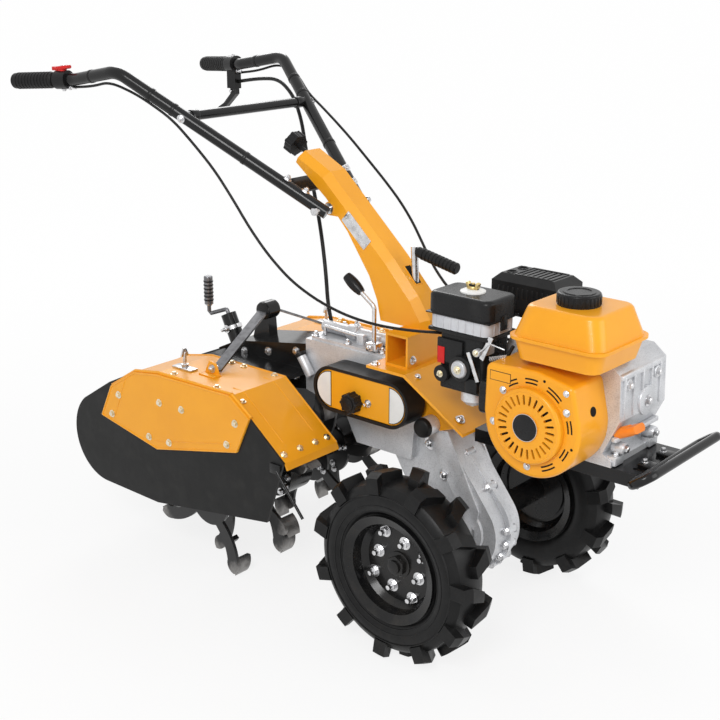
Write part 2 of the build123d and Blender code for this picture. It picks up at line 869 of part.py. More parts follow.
with BuildPart() as rotor:
    with BuildSketch(side):
        with Locations((rotor_x, rotor_z)):
            Circle(rotor_shaft_radius)
    extrude(amount=flange_rows[-1] + flange_disc, both=True)
    for sign in (-1, 1):
        for row, reach in enumerate(flange_rows):
            with BuildSketch(side_at(reach, rotor_x, rotor_z, sign)):
                Circle(flange_disc_radius)
            extrude(amount=flange_disc)
            turn = (tine_step / 4 if row % 2 else -tine_step / 4) - 90.0 - tip_lead
            root = Plane(
                origin=(axle_x + rotor_x, sign * (reach + flange_disc), rotor_z),
                x_dir=(1, 0, 0),
                z_dir=(0, -sign, 0),
            )
            for k in range(tine_count):
                add(tine.part.moved(Location(root) * Location((0, 0, 0), (0, 0, turn + k * tine_step))))
save(rotor.part, "rotor")

# Depth post and crank, knob post with its two straps
with BuildPart() as depth_post:
    with BuildSketch(Plane(origin=(axle_x - 716.0, 0, 455.0), x_dir=(0, 1, 0), z_dir=(-0.5, 0, 1))):
        Circle(19.0)
    extrude(amount=92.0)
    add(tiller_case.part, mode=Mode.SUBTRACT)
save(depth_post.part, "depth_post")

with BuildPart() as crank:
    with BuildLine():
        crank_line = FilletPolyline(
            (axle_x - 756.0, 0, 536.0),
            (axle_x - 762.0, 0, 548.0),
            (axle_x - 826.0, 0, 524.0),
            (axle_x - 826.0, 0, 560.0),
            radius=5.0,
        )
    with BuildSketch(Plane(origin=crank_line @ 0, z_dir=crank_line % 0)):
        Circle(5.0)
    sweep()
    with BuildSketch(level.offset(550.0)):
        with Locations((-826.0, 0)):
            Circle(11.0)
    extrude(amount=72.0)
    fillet(crank.faces().sort_by(Axis.Z)[-1].edges(), 4.0)
    add(depth_post.part, mode=Mode.SUBTRACT)
save(crank.part, "depth_crank")

knob_at = (-618.0, 574.0)
with BuildPart() as knob_post:
    with BuildSketch(side):
        with BuildLine():
            Polyline((-660.0, 490.0), (-640.0, 560.0), (-606.0, 560.0), (-600.0, 490.0), close=True)
        make_face()
    extrude(amount=14.0, both=True)
    with BuildSketch(side):
        with Locations(knob_at):
            Circle(22.0)
    extrude(amount=16.0, both=True)
    add(tiller_case.part, mode=Mode.SUBTRACT)
save(knob_post.part, "knob_post")

strap_end = (-574.0, 219.0, 482.0)
for name, sign in (("right", -1), ("left", 1)):
    run = Vector(strap_end[0] - knob_at[0], sign * (strap_end[1] - 16.0), strap_end[2] - knob_at[1])
    strap_plane = Plane(
        origin=(axle_x + knob_at[0], sign * 16.0, knob_at[1]), x_dir=(1, 0, 0), z_dir=run
    )
    with BuildPart() as strap:
        with BuildSketch(strap_plane):
            Rectangle(28.0, 5.0)
        extrude(amount=run.length - 4.0)
        add(knob_post.part, mode=Mode.SUBTRACT)
    save(strap.part, name + "_strap")

# Handlebar: two tubes from the pivot bolt, braced by a crossbar
bar_root = (pivot[0], bar_root_y, pivot[1])
bars = {}
for name, sign in (("right", -1), ("left", 1)):
    root = Vector(*at(bar_root, sign))
    overrun = (root - Vector(*at(bar_bend, sign))).normalized() * root_overrun
    with BuildPart() as bar:
        with BuildLine():
            bar_line = FilletPolyline(
                root + overrun,
                at(bar_bend, sign),
                at(grip_start, sign),
                at(grip_end, sign),
                radius=bend_radius,
            )
        with BuildSketch(Plane(origin=bar_line @ 0, z_dir=bar_line % 0)):
            Circle(bar_radius)
        sweep()
        with BuildSketch(side):
            with Locations(pivot):
                Circle(pivot_bolt_radius + running_fit)
        extrude(amount=bar_root_y + 2 * bar_radius, both=True, mode=Mode.SUBTRACT)
    bars[name] = bar
    save(bar.part, name + "_bar")

    with BuildPart() as grip:
        start = Vector(*at(grip_start, sign))
        run = Vector(*at(grip_end, sign)) - start
        along = run.normalized()
        with BuildSketch(Plane(origin=start + along * 62.0, z_dir=along)):
            Circle(grip_radius)
        extrude(amount=run.length - 54.0)
        fillet(grip.edges(), 5.0)
        add(bar.part, mode=Mode.SUBTRACT)
    save(grip.part, name + "_grip")

with BuildPart() as crossbar:
    with BuildSketch(side):
        with Locations((crossbar_at[0], crossbar_at[2])):
            Circle(11.0)
    extrude(amount=crossbar_at[1] + 20.0, both=True)
    split(bisect_by=Plane(origin=at(crossbar_at, 1), z_dir=(0, 1, 0)).offset(20.0), keep=Keep.BOTTOM)
    for bar in bars.values():
        add(bar.part, mode=Mode.SUBTRACT)
crossbar_piece = crossbar.part.solids().sort_by(SortBy.VOLUME)[-1]
save(Part(crossbar_piece.wrapped), "crossbar")

# The plate between the bars below the column
with BuildPart() as brace:
    with BuildSketch(Plane(origin=(axle_x - 470.0, 0, 896.0), x_dir=(0, 1, 0), z_dir=(0.55, 0, 0.835))):
        Rectangle(2 * 96.0, 44.0)
    extrude(amount=5.0)
    for bar in bars.values():
        add(bar.part, mode=Mode.SUBTRACT)
brace_piece = brace.part.solids().sort_by(SortBy.VOLUME)[-1]
save(Part(brace_piece.wrapped), "handlebar_brace")

# Throttle on the right bar, clutch lever on the left
clutch_outline = ((-8, 0), (12, 0), (12, -14), (-30, -52), (-58, -64), (-62, -56), (-34, -40), (-8, -14))
clutch_drop = 62.0
housings = {}
for name, sign in (("throttle", -1), ("clutch", 1)):
    start = Vector(*at(grip_start, sign))
    run = Vector(*at(grip_end, sign)) - start
    along = run.normalized()
    centre = start + along * 36.0
    with BuildPart() as housing:
        with BuildSketch(Plane(origin=centre - along * 15.0, z_dir=along)):
            Circle(21.0)
        extrude(amount=34.0)
        if name == "clutch":
            with BuildSketch(Plane(origin=centre, x_dir=(0, 1, 0), z_dir=(0, 0, -1))):
                Rectangle(22.0, 30.0)
            extrude(amount=clutch_drop)
        add(bars["right" if sign < 0 else "left"].part, mode=Mode.SUBTRACT)
    housings[name] = housing
    save(housing.part, name + "_housing")
    with BuildPart() as lever:
        if name == "clutch":
            lever_root = centre - Vector(0, 0, clutch_drop)
            with BuildSketch(Plane(origin=lever_root, x_dir=(1, 0, 0), z_dir=(0, -1, 0))):
                with BuildLine():
                    Polyline(*clutch_outline, close=True)
                make_face()
            extrude(amount=7.0, both=True)
        else:
            with BuildSketch(Plane(origin=centre + Vector(0, 0, 20.0), x_dir=(1, 0, 0), z_dir=(0, 0, 1))):
                with Locations((-14.0, 0)):
                    SlotOverall(44.0, 18.0)
            extrude(amount=8.0)
        add(housing.part, mode=Mode.SUBTRACT)
    save(lever.part, name + "_lever")

# Cables that hang from the handlebar to the engine and the gear case
throttle_run = (
    (-983.0, -267.4, 1091.8),
    (-905.0, -258.0, 1099.0),
    (-838.0, -263.0, 1114.0),
    (-768.0, -244.0, 1090.0),
    (-697.0, -211.0, 1041.0),
    (-640.0, -200.0, 990.0),
    (-582.0, -194.0, 938.0),
    (-530.0, -191.0, 880.0),
    (-482.0, -188.0, 821.0),
    (-430.0, -184.0, 768.0),
    (-370.0, -179.0, 722.0),
    (-302.0, -172.0, 690.0),
    (-228.0, -164.0, 669.0),
    (-150.0, -154.0, 660.0),
    (-72.0, -140.0, 661.0),
    (2.0, -122.0, 667.0),
)
stop_run = (
    (-984.0, 268.0, 1086.0),
    (-905.0, 269.0, 1097.0),
    (-838.0, 279.0, 1118.0),
    (-762.0, 264.0, 1098.0),
    (-690.0, 226.0, 1060.0),
    (-626.0, 206.0, 1033.0),
    (-562.0, 186.0, 1004.0),
    (-498.0, 168.0, 971.0),
    (-436.0, 152.0, 934.0),
    (-376.0, 138.0, 897.0),
    (-318.0, 124.0, 858.0),
    (-264.0, 104.0, 819.0),
    (-214.0, 80.0, 778.0),
    (-164.0, 52.0, 744.0),
    (-108.0, 22.0, 719.0),
    (-48.0, 0.0, 694.0),
    (12.0, -10.0, 665.0),
    (86.0, -14.0, 642.0),
)
clutch_run = (
    (-984.0, 270.0, 1064.0),
    (-900.0, 264.0, 1078.0),
    (-815.0, 252.0, 1084.0),
    (-740.0, 226.0, 1050.0),
    (-682.0, 192.0, 998.0),
    (-630.0, 150.0, 940.0),
    (-575.0, 108.0, 885.0),
    (-523.0, 72.0, 824.0),
    (-482.0, 44.0, 756.0),
    (-455.0, 26.0, 686.0),
    (-440.0, 16.0, 616.0),
    (-420.0, 12.0, 556.0),
)
cables = (
    ("throttle_cable", 3.0, throttle_run, (housings["throttle"], carburettor)),
    ("stop_cable", 3.0, stop_run, (housings["clutch"], crankcase)),
    ("clutch_cable", 4.5, clutch_run, (housings["clutch"], lid)),
)
for name, radius, run, ends in cables:
    points = [Vector(*at(point)) for point in run]
    radii = []
    for a, b, c in zip(points, points[1:], points[2:]):
        half_turn = radians((b - a).get_angle(c - b)) / 2
        radii.append(bend_share * min((b - a).length, (c - b).length) / tan(half_turn))
    with BuildPart() as cable:
        with BuildLine():
            route = FilletPolyline(*points, radius=radii)
        with BuildSketch(Plane(origin=route @ 0, z_dir=route % 0)):
            Circle(radius)
        sweep()
        for end in ends:
            add(end.part, mode=Mode.SUBTRACT)
    save(cable.part, name)
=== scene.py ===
"""Looks of a walk-behind hand tractor: finishes for its CAD nodes, and small parts that dress them.

Lengths are metres in the row frame, apart from the points that Frame.at takes and the sizes kept
as fields of the classes that dress the machine, which are millimetres. Such points are measured
from the wheel axle, X forward, Y to the left and Z up from the ground.
"""

from __future__ import annotations

import json
import logging
import math
from dataclasses import dataclass, field
from enum import Enum
from typing import Iterable, Sequence

import bmesh
import bpy
from mathutils import Matrix, Vector

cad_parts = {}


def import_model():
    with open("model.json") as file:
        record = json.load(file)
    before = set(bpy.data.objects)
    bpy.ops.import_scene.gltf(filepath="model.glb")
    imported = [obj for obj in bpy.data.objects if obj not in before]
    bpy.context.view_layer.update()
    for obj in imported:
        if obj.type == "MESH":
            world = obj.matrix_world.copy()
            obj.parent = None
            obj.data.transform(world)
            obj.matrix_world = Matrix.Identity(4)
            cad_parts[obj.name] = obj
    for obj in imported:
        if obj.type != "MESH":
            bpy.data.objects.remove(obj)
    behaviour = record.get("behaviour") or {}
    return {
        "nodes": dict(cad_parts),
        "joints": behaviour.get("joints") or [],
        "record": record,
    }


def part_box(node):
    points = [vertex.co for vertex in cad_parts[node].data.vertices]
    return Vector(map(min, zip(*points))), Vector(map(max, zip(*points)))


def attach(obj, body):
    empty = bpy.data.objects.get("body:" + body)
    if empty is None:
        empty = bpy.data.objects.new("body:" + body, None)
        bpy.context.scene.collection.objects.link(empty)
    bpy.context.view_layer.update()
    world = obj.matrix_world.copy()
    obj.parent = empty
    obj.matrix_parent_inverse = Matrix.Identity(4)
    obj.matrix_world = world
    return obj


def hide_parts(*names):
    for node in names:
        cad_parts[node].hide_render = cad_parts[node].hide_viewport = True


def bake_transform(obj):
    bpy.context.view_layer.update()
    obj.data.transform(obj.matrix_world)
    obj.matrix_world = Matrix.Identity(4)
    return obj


LOG = logging.getLogger("hand_tractor")
MM = 0.001
Triple = tuple[float, float, float]
Profile = Sequence[tuple[float, float]]


class Body(Enum):
    """The bodies that pieces ride on."""

    TRACTOR = "tractor"
    HANDLEBAR = "handlebar"
    RIGHT_WHEEL = "right_wheel"
    LEFT_WHEEL = "left_wheel"
    ROTOR = "tine_rotor"


class Side(Enum):
    """The near, right side of the machine and the far, left one."""

    RIGHT = -1
    LEFT = 1

    @property
    def word(self) -> str:
        """The side's name as node names spell it."""
        return self.name.lower()


class Slot(Enum):
    """The record's material slots."""

    YELLOW = "yellow_paint"
    BLACK = "black_paint"
    PLASTIC = "black_plastic"
    RUBBER = "black_rubber"
    TYRE = "tyre_rubber"
    CASTING = "silver_casting"
    GREY = "grey_plastic"
    PLATED = "plated_steel"
    RED = "red_plastic"
    ORANGE = "orange_plastic"


# Shader maths


class Signal:
    """A node's output, on which Python's operators add Math nodes."""

    def __init__(self, graph: Graph, socket: bpy.types.NodeSocket) -> None:
        """Keeps the graph and the socket."""
        self.graph = graph
        self.socket = socket

    def math(self, operation: str, *operands: Signal | float) -> Signal:
        """Adds one Math node.

        Args:
            operation: Blender's name for the operation.
            operands: Signals or numbers, in the node's order.

        Returns:
            The node's output.
        """
        values = dict(enumerate(operands))
        return self.graph.signal("ShaderNodeMath", {"operation": operation}, values)

    def __add__(self, other: Signal | float) -> Signal:
        """Sum."""
        return self.math("ADD", self, other)

    __radd__ = __add__

    def __sub__(self, other: Signal | float) -> Signal:
        """Difference."""
        return self.math("SUBTRACT", self, other)

    def __rsub__(self, other: float) -> Signal:
        """Difference from a number."""
        return self.math("SUBTRACT", other, self)

    def __mul__(self, other: Signal | float) -> Signal:
        """Product."""
        return self.math("MULTIPLY", self, other)

    __rmul__ = __mul__

    def step(self, low: float, high: float) -> Signal:
        """0 below low, 1 above high, and smooth between them."""
        values = {"Value": self, "From Min": low, "From Max": high}
        settings = {"interpolation_type": "SMOOTHSTEP", "clamp": True}
        return self.graph.signal("ShaderNodeMapRange", settings, values)


class Graph:
    """The nodes of one material, with a Principled shader at their end."""

    def __init__(self, name: str) -> None:
        """Makes an empty material of that name."""
        self.material = bpy.data.materials.new(name)
        self.material.use_nodes = True
        self.tree = self.material.node_tree
        self.tree.nodes.clear()
        self.output = self.tree.nodes.new("ShaderNodeOutputMaterial")

    def node(
        self,
        kind: str,
        settings: dict[str, object] | None = None,
        values: dict[str | int, object] | None = None,
        stops: Sequence[tuple[float, Triple]] = (),
    ) -> bpy.types.Node:
        """Adds a node.

        Args:
            kind: Blender's type name of the node.
            settings: Its own properties, set first.
            values: Numbers, colours or signals for its input sockets.
            stops: Places and colours of a colour ramp.

        Returns:
            The new node.
        """
        made = self.tree.nodes.new(kind)
        for key, value in (settings or {}).items():
            setattr(made, key, value)
        for index, (place, colour) in enumerate(stops):
            elements = made.color_ramp.elements
            element = elements[index] if index < len(elements) else elements.new(place)
            element.position = place
            element.color = (*colour, 1.0)
        for key, value in (values or {}).items():
            socket = made.inputs[key]
            if isinstance(value, Signal):
                self.tree.links.new(value.socket, socket)
            else:
                socket.default_value = value
        return made

    def signal(
        self,
        kind: str,
        settings: dict[str, object] | None = None,
        values: dict[str | int, object] | None = None,
        output: str | int = 0,
        stops: Sequence[tuple[float, Triple]] = (),
    ) -> Signal:
        """Adds a node and gives one of its outputs."""
        return Signal(self, self.node(kind, settings, values, stops).outputs[output])

    def place(self) -> Signal:
        """Object coordinates, in metres."""
        return self.signal("ShaderNodeTexCoord", output="Object")

    def noise(self, scale: float, detail: float = 3.0, stretch: Triple = (1.0, 1.0, 1.0)) -> Signal:
        """Noise from 0 to 1.

        Args:
            scale: Cells in a metre.
            detail: Octaves.
            stretch: Factors on the coordinates, to draw the noise out into streaks.

        Returns:
            The noise value.
        """
        spread = self.signal("ShaderNodeMapping", None, {"Vector": self.place(), "Scale": stretch})
        values = {"Vector": spread, "Scale": scale, "Detail": detail, "Roughness": 0.55}
        return self.signal("ShaderNodeTexNoise", None, values, "Fac")

    def height(self) -> Signal:
        """Height above the ground, in metres."""
        return self.signal("ShaderNodeSeparateXYZ", None, {"Vector": self.place()}, "Z")

    def worn_edge(self, radius: float) -> Signal:
        """Near 1 at sharp edges and 0 on flats.

        Args:
            radius: How far from an edge it reaches, in metres.

        Returns:
            The mask.
        """
        rounded = self.signal("ShaderNodeBevel", {"samples": 4}, {"Radius": radius})
        flat = self.signal("ShaderNodeNewGeometry", output="Normal")
        values = {0: rounded, 1: flat}
        match = self.signal("ShaderNodeVectorMath", {"operation": "DOT_PRODUCT"}, values, "Value")
        return (1.0 - match).step(0.03, 0.22)

    def blend(self, mask: Signal | float, low: object, high: object) -> Signal:
        """Mixes two colours by a mask."""
        first = low if isinstance(low, Signal) else (*low, 1.0)
        second = high if isinstance(high, Signal) else (*high, 1.0)
        values = {"Factor": mask, 6: first, 7: second}
        made = self.node("ShaderNodeMix", {"data_type": "RGBA"}, values)
        return Signal(self, made.outputs[2])

    def bump(self, height: Signal, strength: float, distance: float) -> Signal:
        """Turns a height into a normal."""
        values = {"Height": height, "Strength": strength, "Distance": distance}
        return self.signal("ShaderNodeBump", None, values, "Normal")

    def shade(self, values: dict[str, object]) -> bpy.types.Material:
        """Adds the Principled shader and closes the graph.

        Args:
            values: Numbers, colours or signals for the shader's sockets.

        Returns:
            The finished material.
        """
        shader = self.node("ShaderNodeBsdfPrincipled", None, values)
        self.tree.links.new(shader.outputs[0], self.output.inputs["Surface"])
        return self.material


@dataclass(frozen=True)
class Paint:
    """Sprayed paint with orange peel, faint mottling, dust low down and thin, rubbed edges."""

    name: str
    colour: Triple
    shade: Triple
    edge: Triple
    roughness: float = 0.34
    coat: float = 0.18
    specular: float = 0.3
    dust: Triple = (0.34, 0.29, 0.23)

    def build(self) -> bpy.types.Material:
        """Returns the material."""
        graph = Graph(self.name)
        mottle = graph.noise(9.0, 4.0).step(0.3, 0.75)
        colour = graph.blend(mottle, self.colour, self.shade)
        rubbed = graph.worn_edge(0.0025) * graph.noise(60.0, 5.0).step(0.38, 0.62)
        colour = graph.blend(rubbed * 0.55, colour, self.edge)
        low = (1.0 - graph.height().step(0.05, 0.42)) * graph.noise(22.0, 5.0).step(0.4, 0.8)
        colour = graph.blend(low * 0.05, colour, self.dust)
        roughness = graph.noise(35.0, 3.0) * 0.14 + low * 0.2 + (self.roughness - 0.07)
        peel = graph.noise(420.0, 2.0) + graph.noise(70.0, 2.0) * 0.6
        return graph.shade(
            {
                "Base Color": colour,
                "Roughness": roughness,
                "Coat Weight": self.coat,
                "Coat Roughness": 0.12,
                "Specular IOR Level": self.specular,
                "Normal": graph.bump(peel, 0.12, 0.0004),
            }
        )


@dataclass(frozen=True)
class Casting:
    """Cast aluminium: grainy, a little cloudy, brighter on rubbed edges and darker in its pores."""

    name: str
    colour: Triple = (0.72, 0.73, 0.75)
    shade: Triple = (0.54, 0.55, 0.57)
    metallic: float = 0.45
    roughness: float = 0.4

    def build(self) -> bpy.types.Material:
        """Returns the material."""
        graph = Graph(self.name)
        cloud = graph.noise(14.0, 4.0).step(0.3, 0.7)
        pores = graph.noise(520.0, 2.0).step(0.34, 0.5)
        colour = graph.blend(cloud, self.colour, self.shade)
        colour = graph.blend((1.0 - pores) * 0.35, colour, (0.2, 0.2, 0.21))
        bright = graph.worn_edge(0.003)
        colour = graph.blend(bright * 0.5, colour, (0.82, 0.82, 0.83))
        grain = graph.noise(380.0, 4.0) + graph.noise(120.0, 2.0) * 0.7
        return graph.shade(
            {
                "Base Color": colour,
                "Metallic": self.metallic,
                "Roughness": graph.noise(90.0, 3.0) * 0.2 + (self.roughness - 0.1) - bright * 0.1,
                "Normal": graph.bump(grain, 0.3, 0.0006),
            }
        )


@dataclass(frozen=True)
class Moulded:
    """Plastic or rubber out of a mould, with a fine grain and dust in its hollows."""

    name: str
    colour: Triple
    shade: Triple
    roughness: float = 0.5
    grain: float = 600.0
    depth: float = 0.25
    dust: float = 0.02

    def build(self) -> bpy.types.Material:
        """Returns the material."""
        graph = Graph(self.name)
        cloud = graph.noise(16.0, 4.0).step(0.35, 0.75)
        colour = graph.blend(cloud, self.colour, self.shade)
        grey = graph.worn_edge(0.002) * graph.noise(110.0, 4.0).step(0.35, 0.6)
        rubbed = tuple(min(1.0, c * 2.2 + 0.03) for c in self.colour)
        colour = graph.blend(grey * 0.3, colour, rubbed)
        settled = graph.noise(28.0, 5.0).step(0.45, 0.8) * self.dust
        colour = graph.blend(settled, colour, (0.33, 0.31, 0.28))
        relief = graph.noise(self.grain, 2.0) + graph.noise(self.grain / 7.0, 2.0) * 0.4
        return graph.shade(
            {
                "Base Color": colour,
                "Specular IOR Level": 0.2,
                "Roughness": graph.noise(50.0, 3.0) * 0.16 + (self.roughness - 0.08),
                "Normal": graph.bump(relief, self.depth, 0.0004),
            }
        )


@dataclass(frozen=True)
class Tread:
    """Tyre rubber: near black, with mould streaks, a soft sheen and dry soil low on the lugs."""

    name: str
    colour: Triple = (0.006, 0.006, 0.0062)
    soil: Triple = (0.06, 0.052, 0.044)

    def build(self) -> bpy.types.Material:
        """Returns the material."""
        graph = Graph(self.name)
        streak = graph.noise(40.0, 4.0, (1.0, 0.15, 1.0)).step(0.4, 0.8)
        colour = graph.blend(streak, self.colour, (0.011, 0.011, 0.011))
        worn = graph.worn_edge(0.003) * graph.noise(90.0, 4.0).step(0.35, 0.6)
        colour = graph.blend(worn * 0.3, colour, (0.04, 0.04, 0.04))
        low = (1.0 - graph.height().step(0.01, 0.12)) * graph.noise(60.0, 6.0).step(0.45, 0.75)
        colour = graph.blend(low * 0.3, colour, self.soil)
        skin = graph.noise(260.0, 4.0) + graph.noise(45.0, 3.0)
        return graph.shade(
            {
                "Base Color": colour,
                "Specular IOR Level": 0.2,
                "Roughness": graph.noise(30.0, 4.0) * 0.22 + 0.26 + low * 0.3,
                "Normal": graph.bump(skin, 0.3, 0.0006),
            }
        )


@dataclass(frozen=True)
class Metal:
    """Bare or plated metal, brushed along one way and stained a little."""

    name: str
    colour: Triple
    shade: Triple
    roughness: float = 0.28
    brush: Triple = (1.0, 1.0, 0.08)

    def build(self) -> bpy.types.Material:
        """Returns the material."""
        graph = Graph(self.name)
        stain = graph.noise(70.0, 4.0).step(0.35, 0.75)
        colour = graph.blend(stain, self.colour, self.shade)
        lines = graph.noise(900.0, 2.0, self.brush)
        return graph.shade(
            {
                "Base Color": colour,
                "Metallic": 1.0,
                "Roughness": lines * 0.14 + stain * 0.1 + (self.roughness - 0.08),
                "Normal": graph.bump(lines, 0.1, 0.0002),
            }
        )


@dataclass(frozen=True)
class Blade:
    """Black forged tines, polished by soil towards their tips."""

    name: str
    hub: Triple
    bare_from: float
    bare_to: float

    def build(self) -> bpy.types.Material:
        """Returns the material."""
        graph = Graph(self.name)
        values = {0: graph.place(), 1: self.hub}
        away = graph.signal("ShaderNodeVectorMath", {"operation": "SUBTRACT"}, values)
        values = {0: away, 1: (1, 0, 1)}
        flat = graph.signal("ShaderNodeVectorMath", {"operation": "MULTIPLY"}, values)
        reach = graph.signal("ShaderNodeVectorMath", {"operation": "LENGTH"}, {0: flat}, "Value")
        ragged = reach + (graph.noise(45.0, 5.0) - 0.5) * 0.05
        bare = ragged.step(self.bare_from, self.bare_to)
        steel = graph.blend(graph.noise(80.0, 4.0), (0.34, 0.33, 0.32), (0.14, 0.135, 0.13))
        colour = graph.blend(bare, (0.007, 0.007, 0.0073), steel)
        return graph.shade(
            {
                "Base Color": colour,
                "Metallic": bare * 0.9,
                "Roughness": graph.noise(120.0, 3.0) * 0.16 + 0.28,
                "Normal": graph.bump(graph.noise(300.0, 3.0), 0.2, 0.0004),
            }
        )


class Finishes:
    """Every finish of the machine, each built once."""

    def __init__(self, rotor_hub: Triple, rotor_reach: float) -> None:
        """Builds the finishes.

        Args:
            rotor_hub: The middle of the tine rotor.
            rotor_reach: Its radius to the tips.
        """
        makers = {
            "yellow": Paint(
                "yellow_enamel", (0.89, 0.378, 0.012), (0.84, 0.345, 0.011), (0.94, 0.5, 0.1)
            ),
            "black": Paint(
                "black_enamel",
                (0.006, 0.006, 0.0063),
                (0.009, 0.009, 0.0095),
                (0.06, 0.06, 0.06),
                roughness=0.2,
                coat=0.15,
                specular=0.22,
            ),
            "heat_black": Moulded(
                "heat_black", (0.012, 0.012, 0.0125), (0.018, 0.018, 0.0185), 0.3, 500.0, 0.12
            ),
            "plastic": Moulded(
                "black_moulding", (0.01, 0.01, 0.0105), (0.015, 0.015, 0.0155), 0.28, 700.0, 0.1
            ),
            "rubber": Moulded(
                "black_rubber_skin", (0.008, 0.008, 0.008), (0.012, 0.012, 0.012), 0.42, 320.0, 0.2
            ),
            "tyre": Tread("tyre_rubber_skin"),
            "casting": Casting("cast_aluminium"),
            "grey": Moulded(
                "grey_moulding", (0.6, 0.61, 0.64), (0.46, 0.47, 0.5), 0.4, 500.0, 0.15, 0.1
            ),
            "zinc": Metal("zinc_plate", (0.74, 0.74, 0.75), (0.5, 0.5, 0.51), 0.24),
            "yellow_zinc": Metal("yellow_zinc_plate", (0.82, 0.75, 0.58), (0.62, 0.56, 0.42), 0.26),
            "brass": Metal("brass_casting", (0.8, 0.62, 0.26), (0.58, 0.44, 0.2), 0.32),
            "dark_steel": Metal("dark_steel", (0.2, 0.2, 0.21), (0.12, 0.12, 0.125), 0.34),
            "red": Moulded(
                "red_moulding", (0.62, 0.02, 0.018), (0.5, 0.016, 0.015), 0.34, 600.0, 0.12, 0.02
            ),
            "orange": Moulded(
                "orange_moulding", (0.9, 0.26, 0.03), (0.8, 0.22, 0.03), 0.36, 600.0, 0.12, 0.02
            ),
            "white": Moulded(
                "white_film", (0.82, 0.82, 0.8), (0.74, 0.74, 0.72), 0.36, 300.0, 0.06, 0.05
            ),
            # Painted shade: a near black sheet that stands for the shade inside slots, holes and
            # recesses.
            "shadow": Moulded(
                "open_slot_black", (0.004, 0.004, 0.004), (0.007, 0.007, 0.007), 0.8, 300.0, 0.1, 0.0
            ),
            "blade": Blade("tine_steel", rotor_hub, rotor_reach * 0.86, rotor_reach * 1.04),
        }
        self.materials = {key: maker.build() for key, maker in makers.items()}

    def __getitem__(self, key: str) -> bpy.types.Material:
        """The material under a short name."""
        return self.materials[key]


# Mesh making


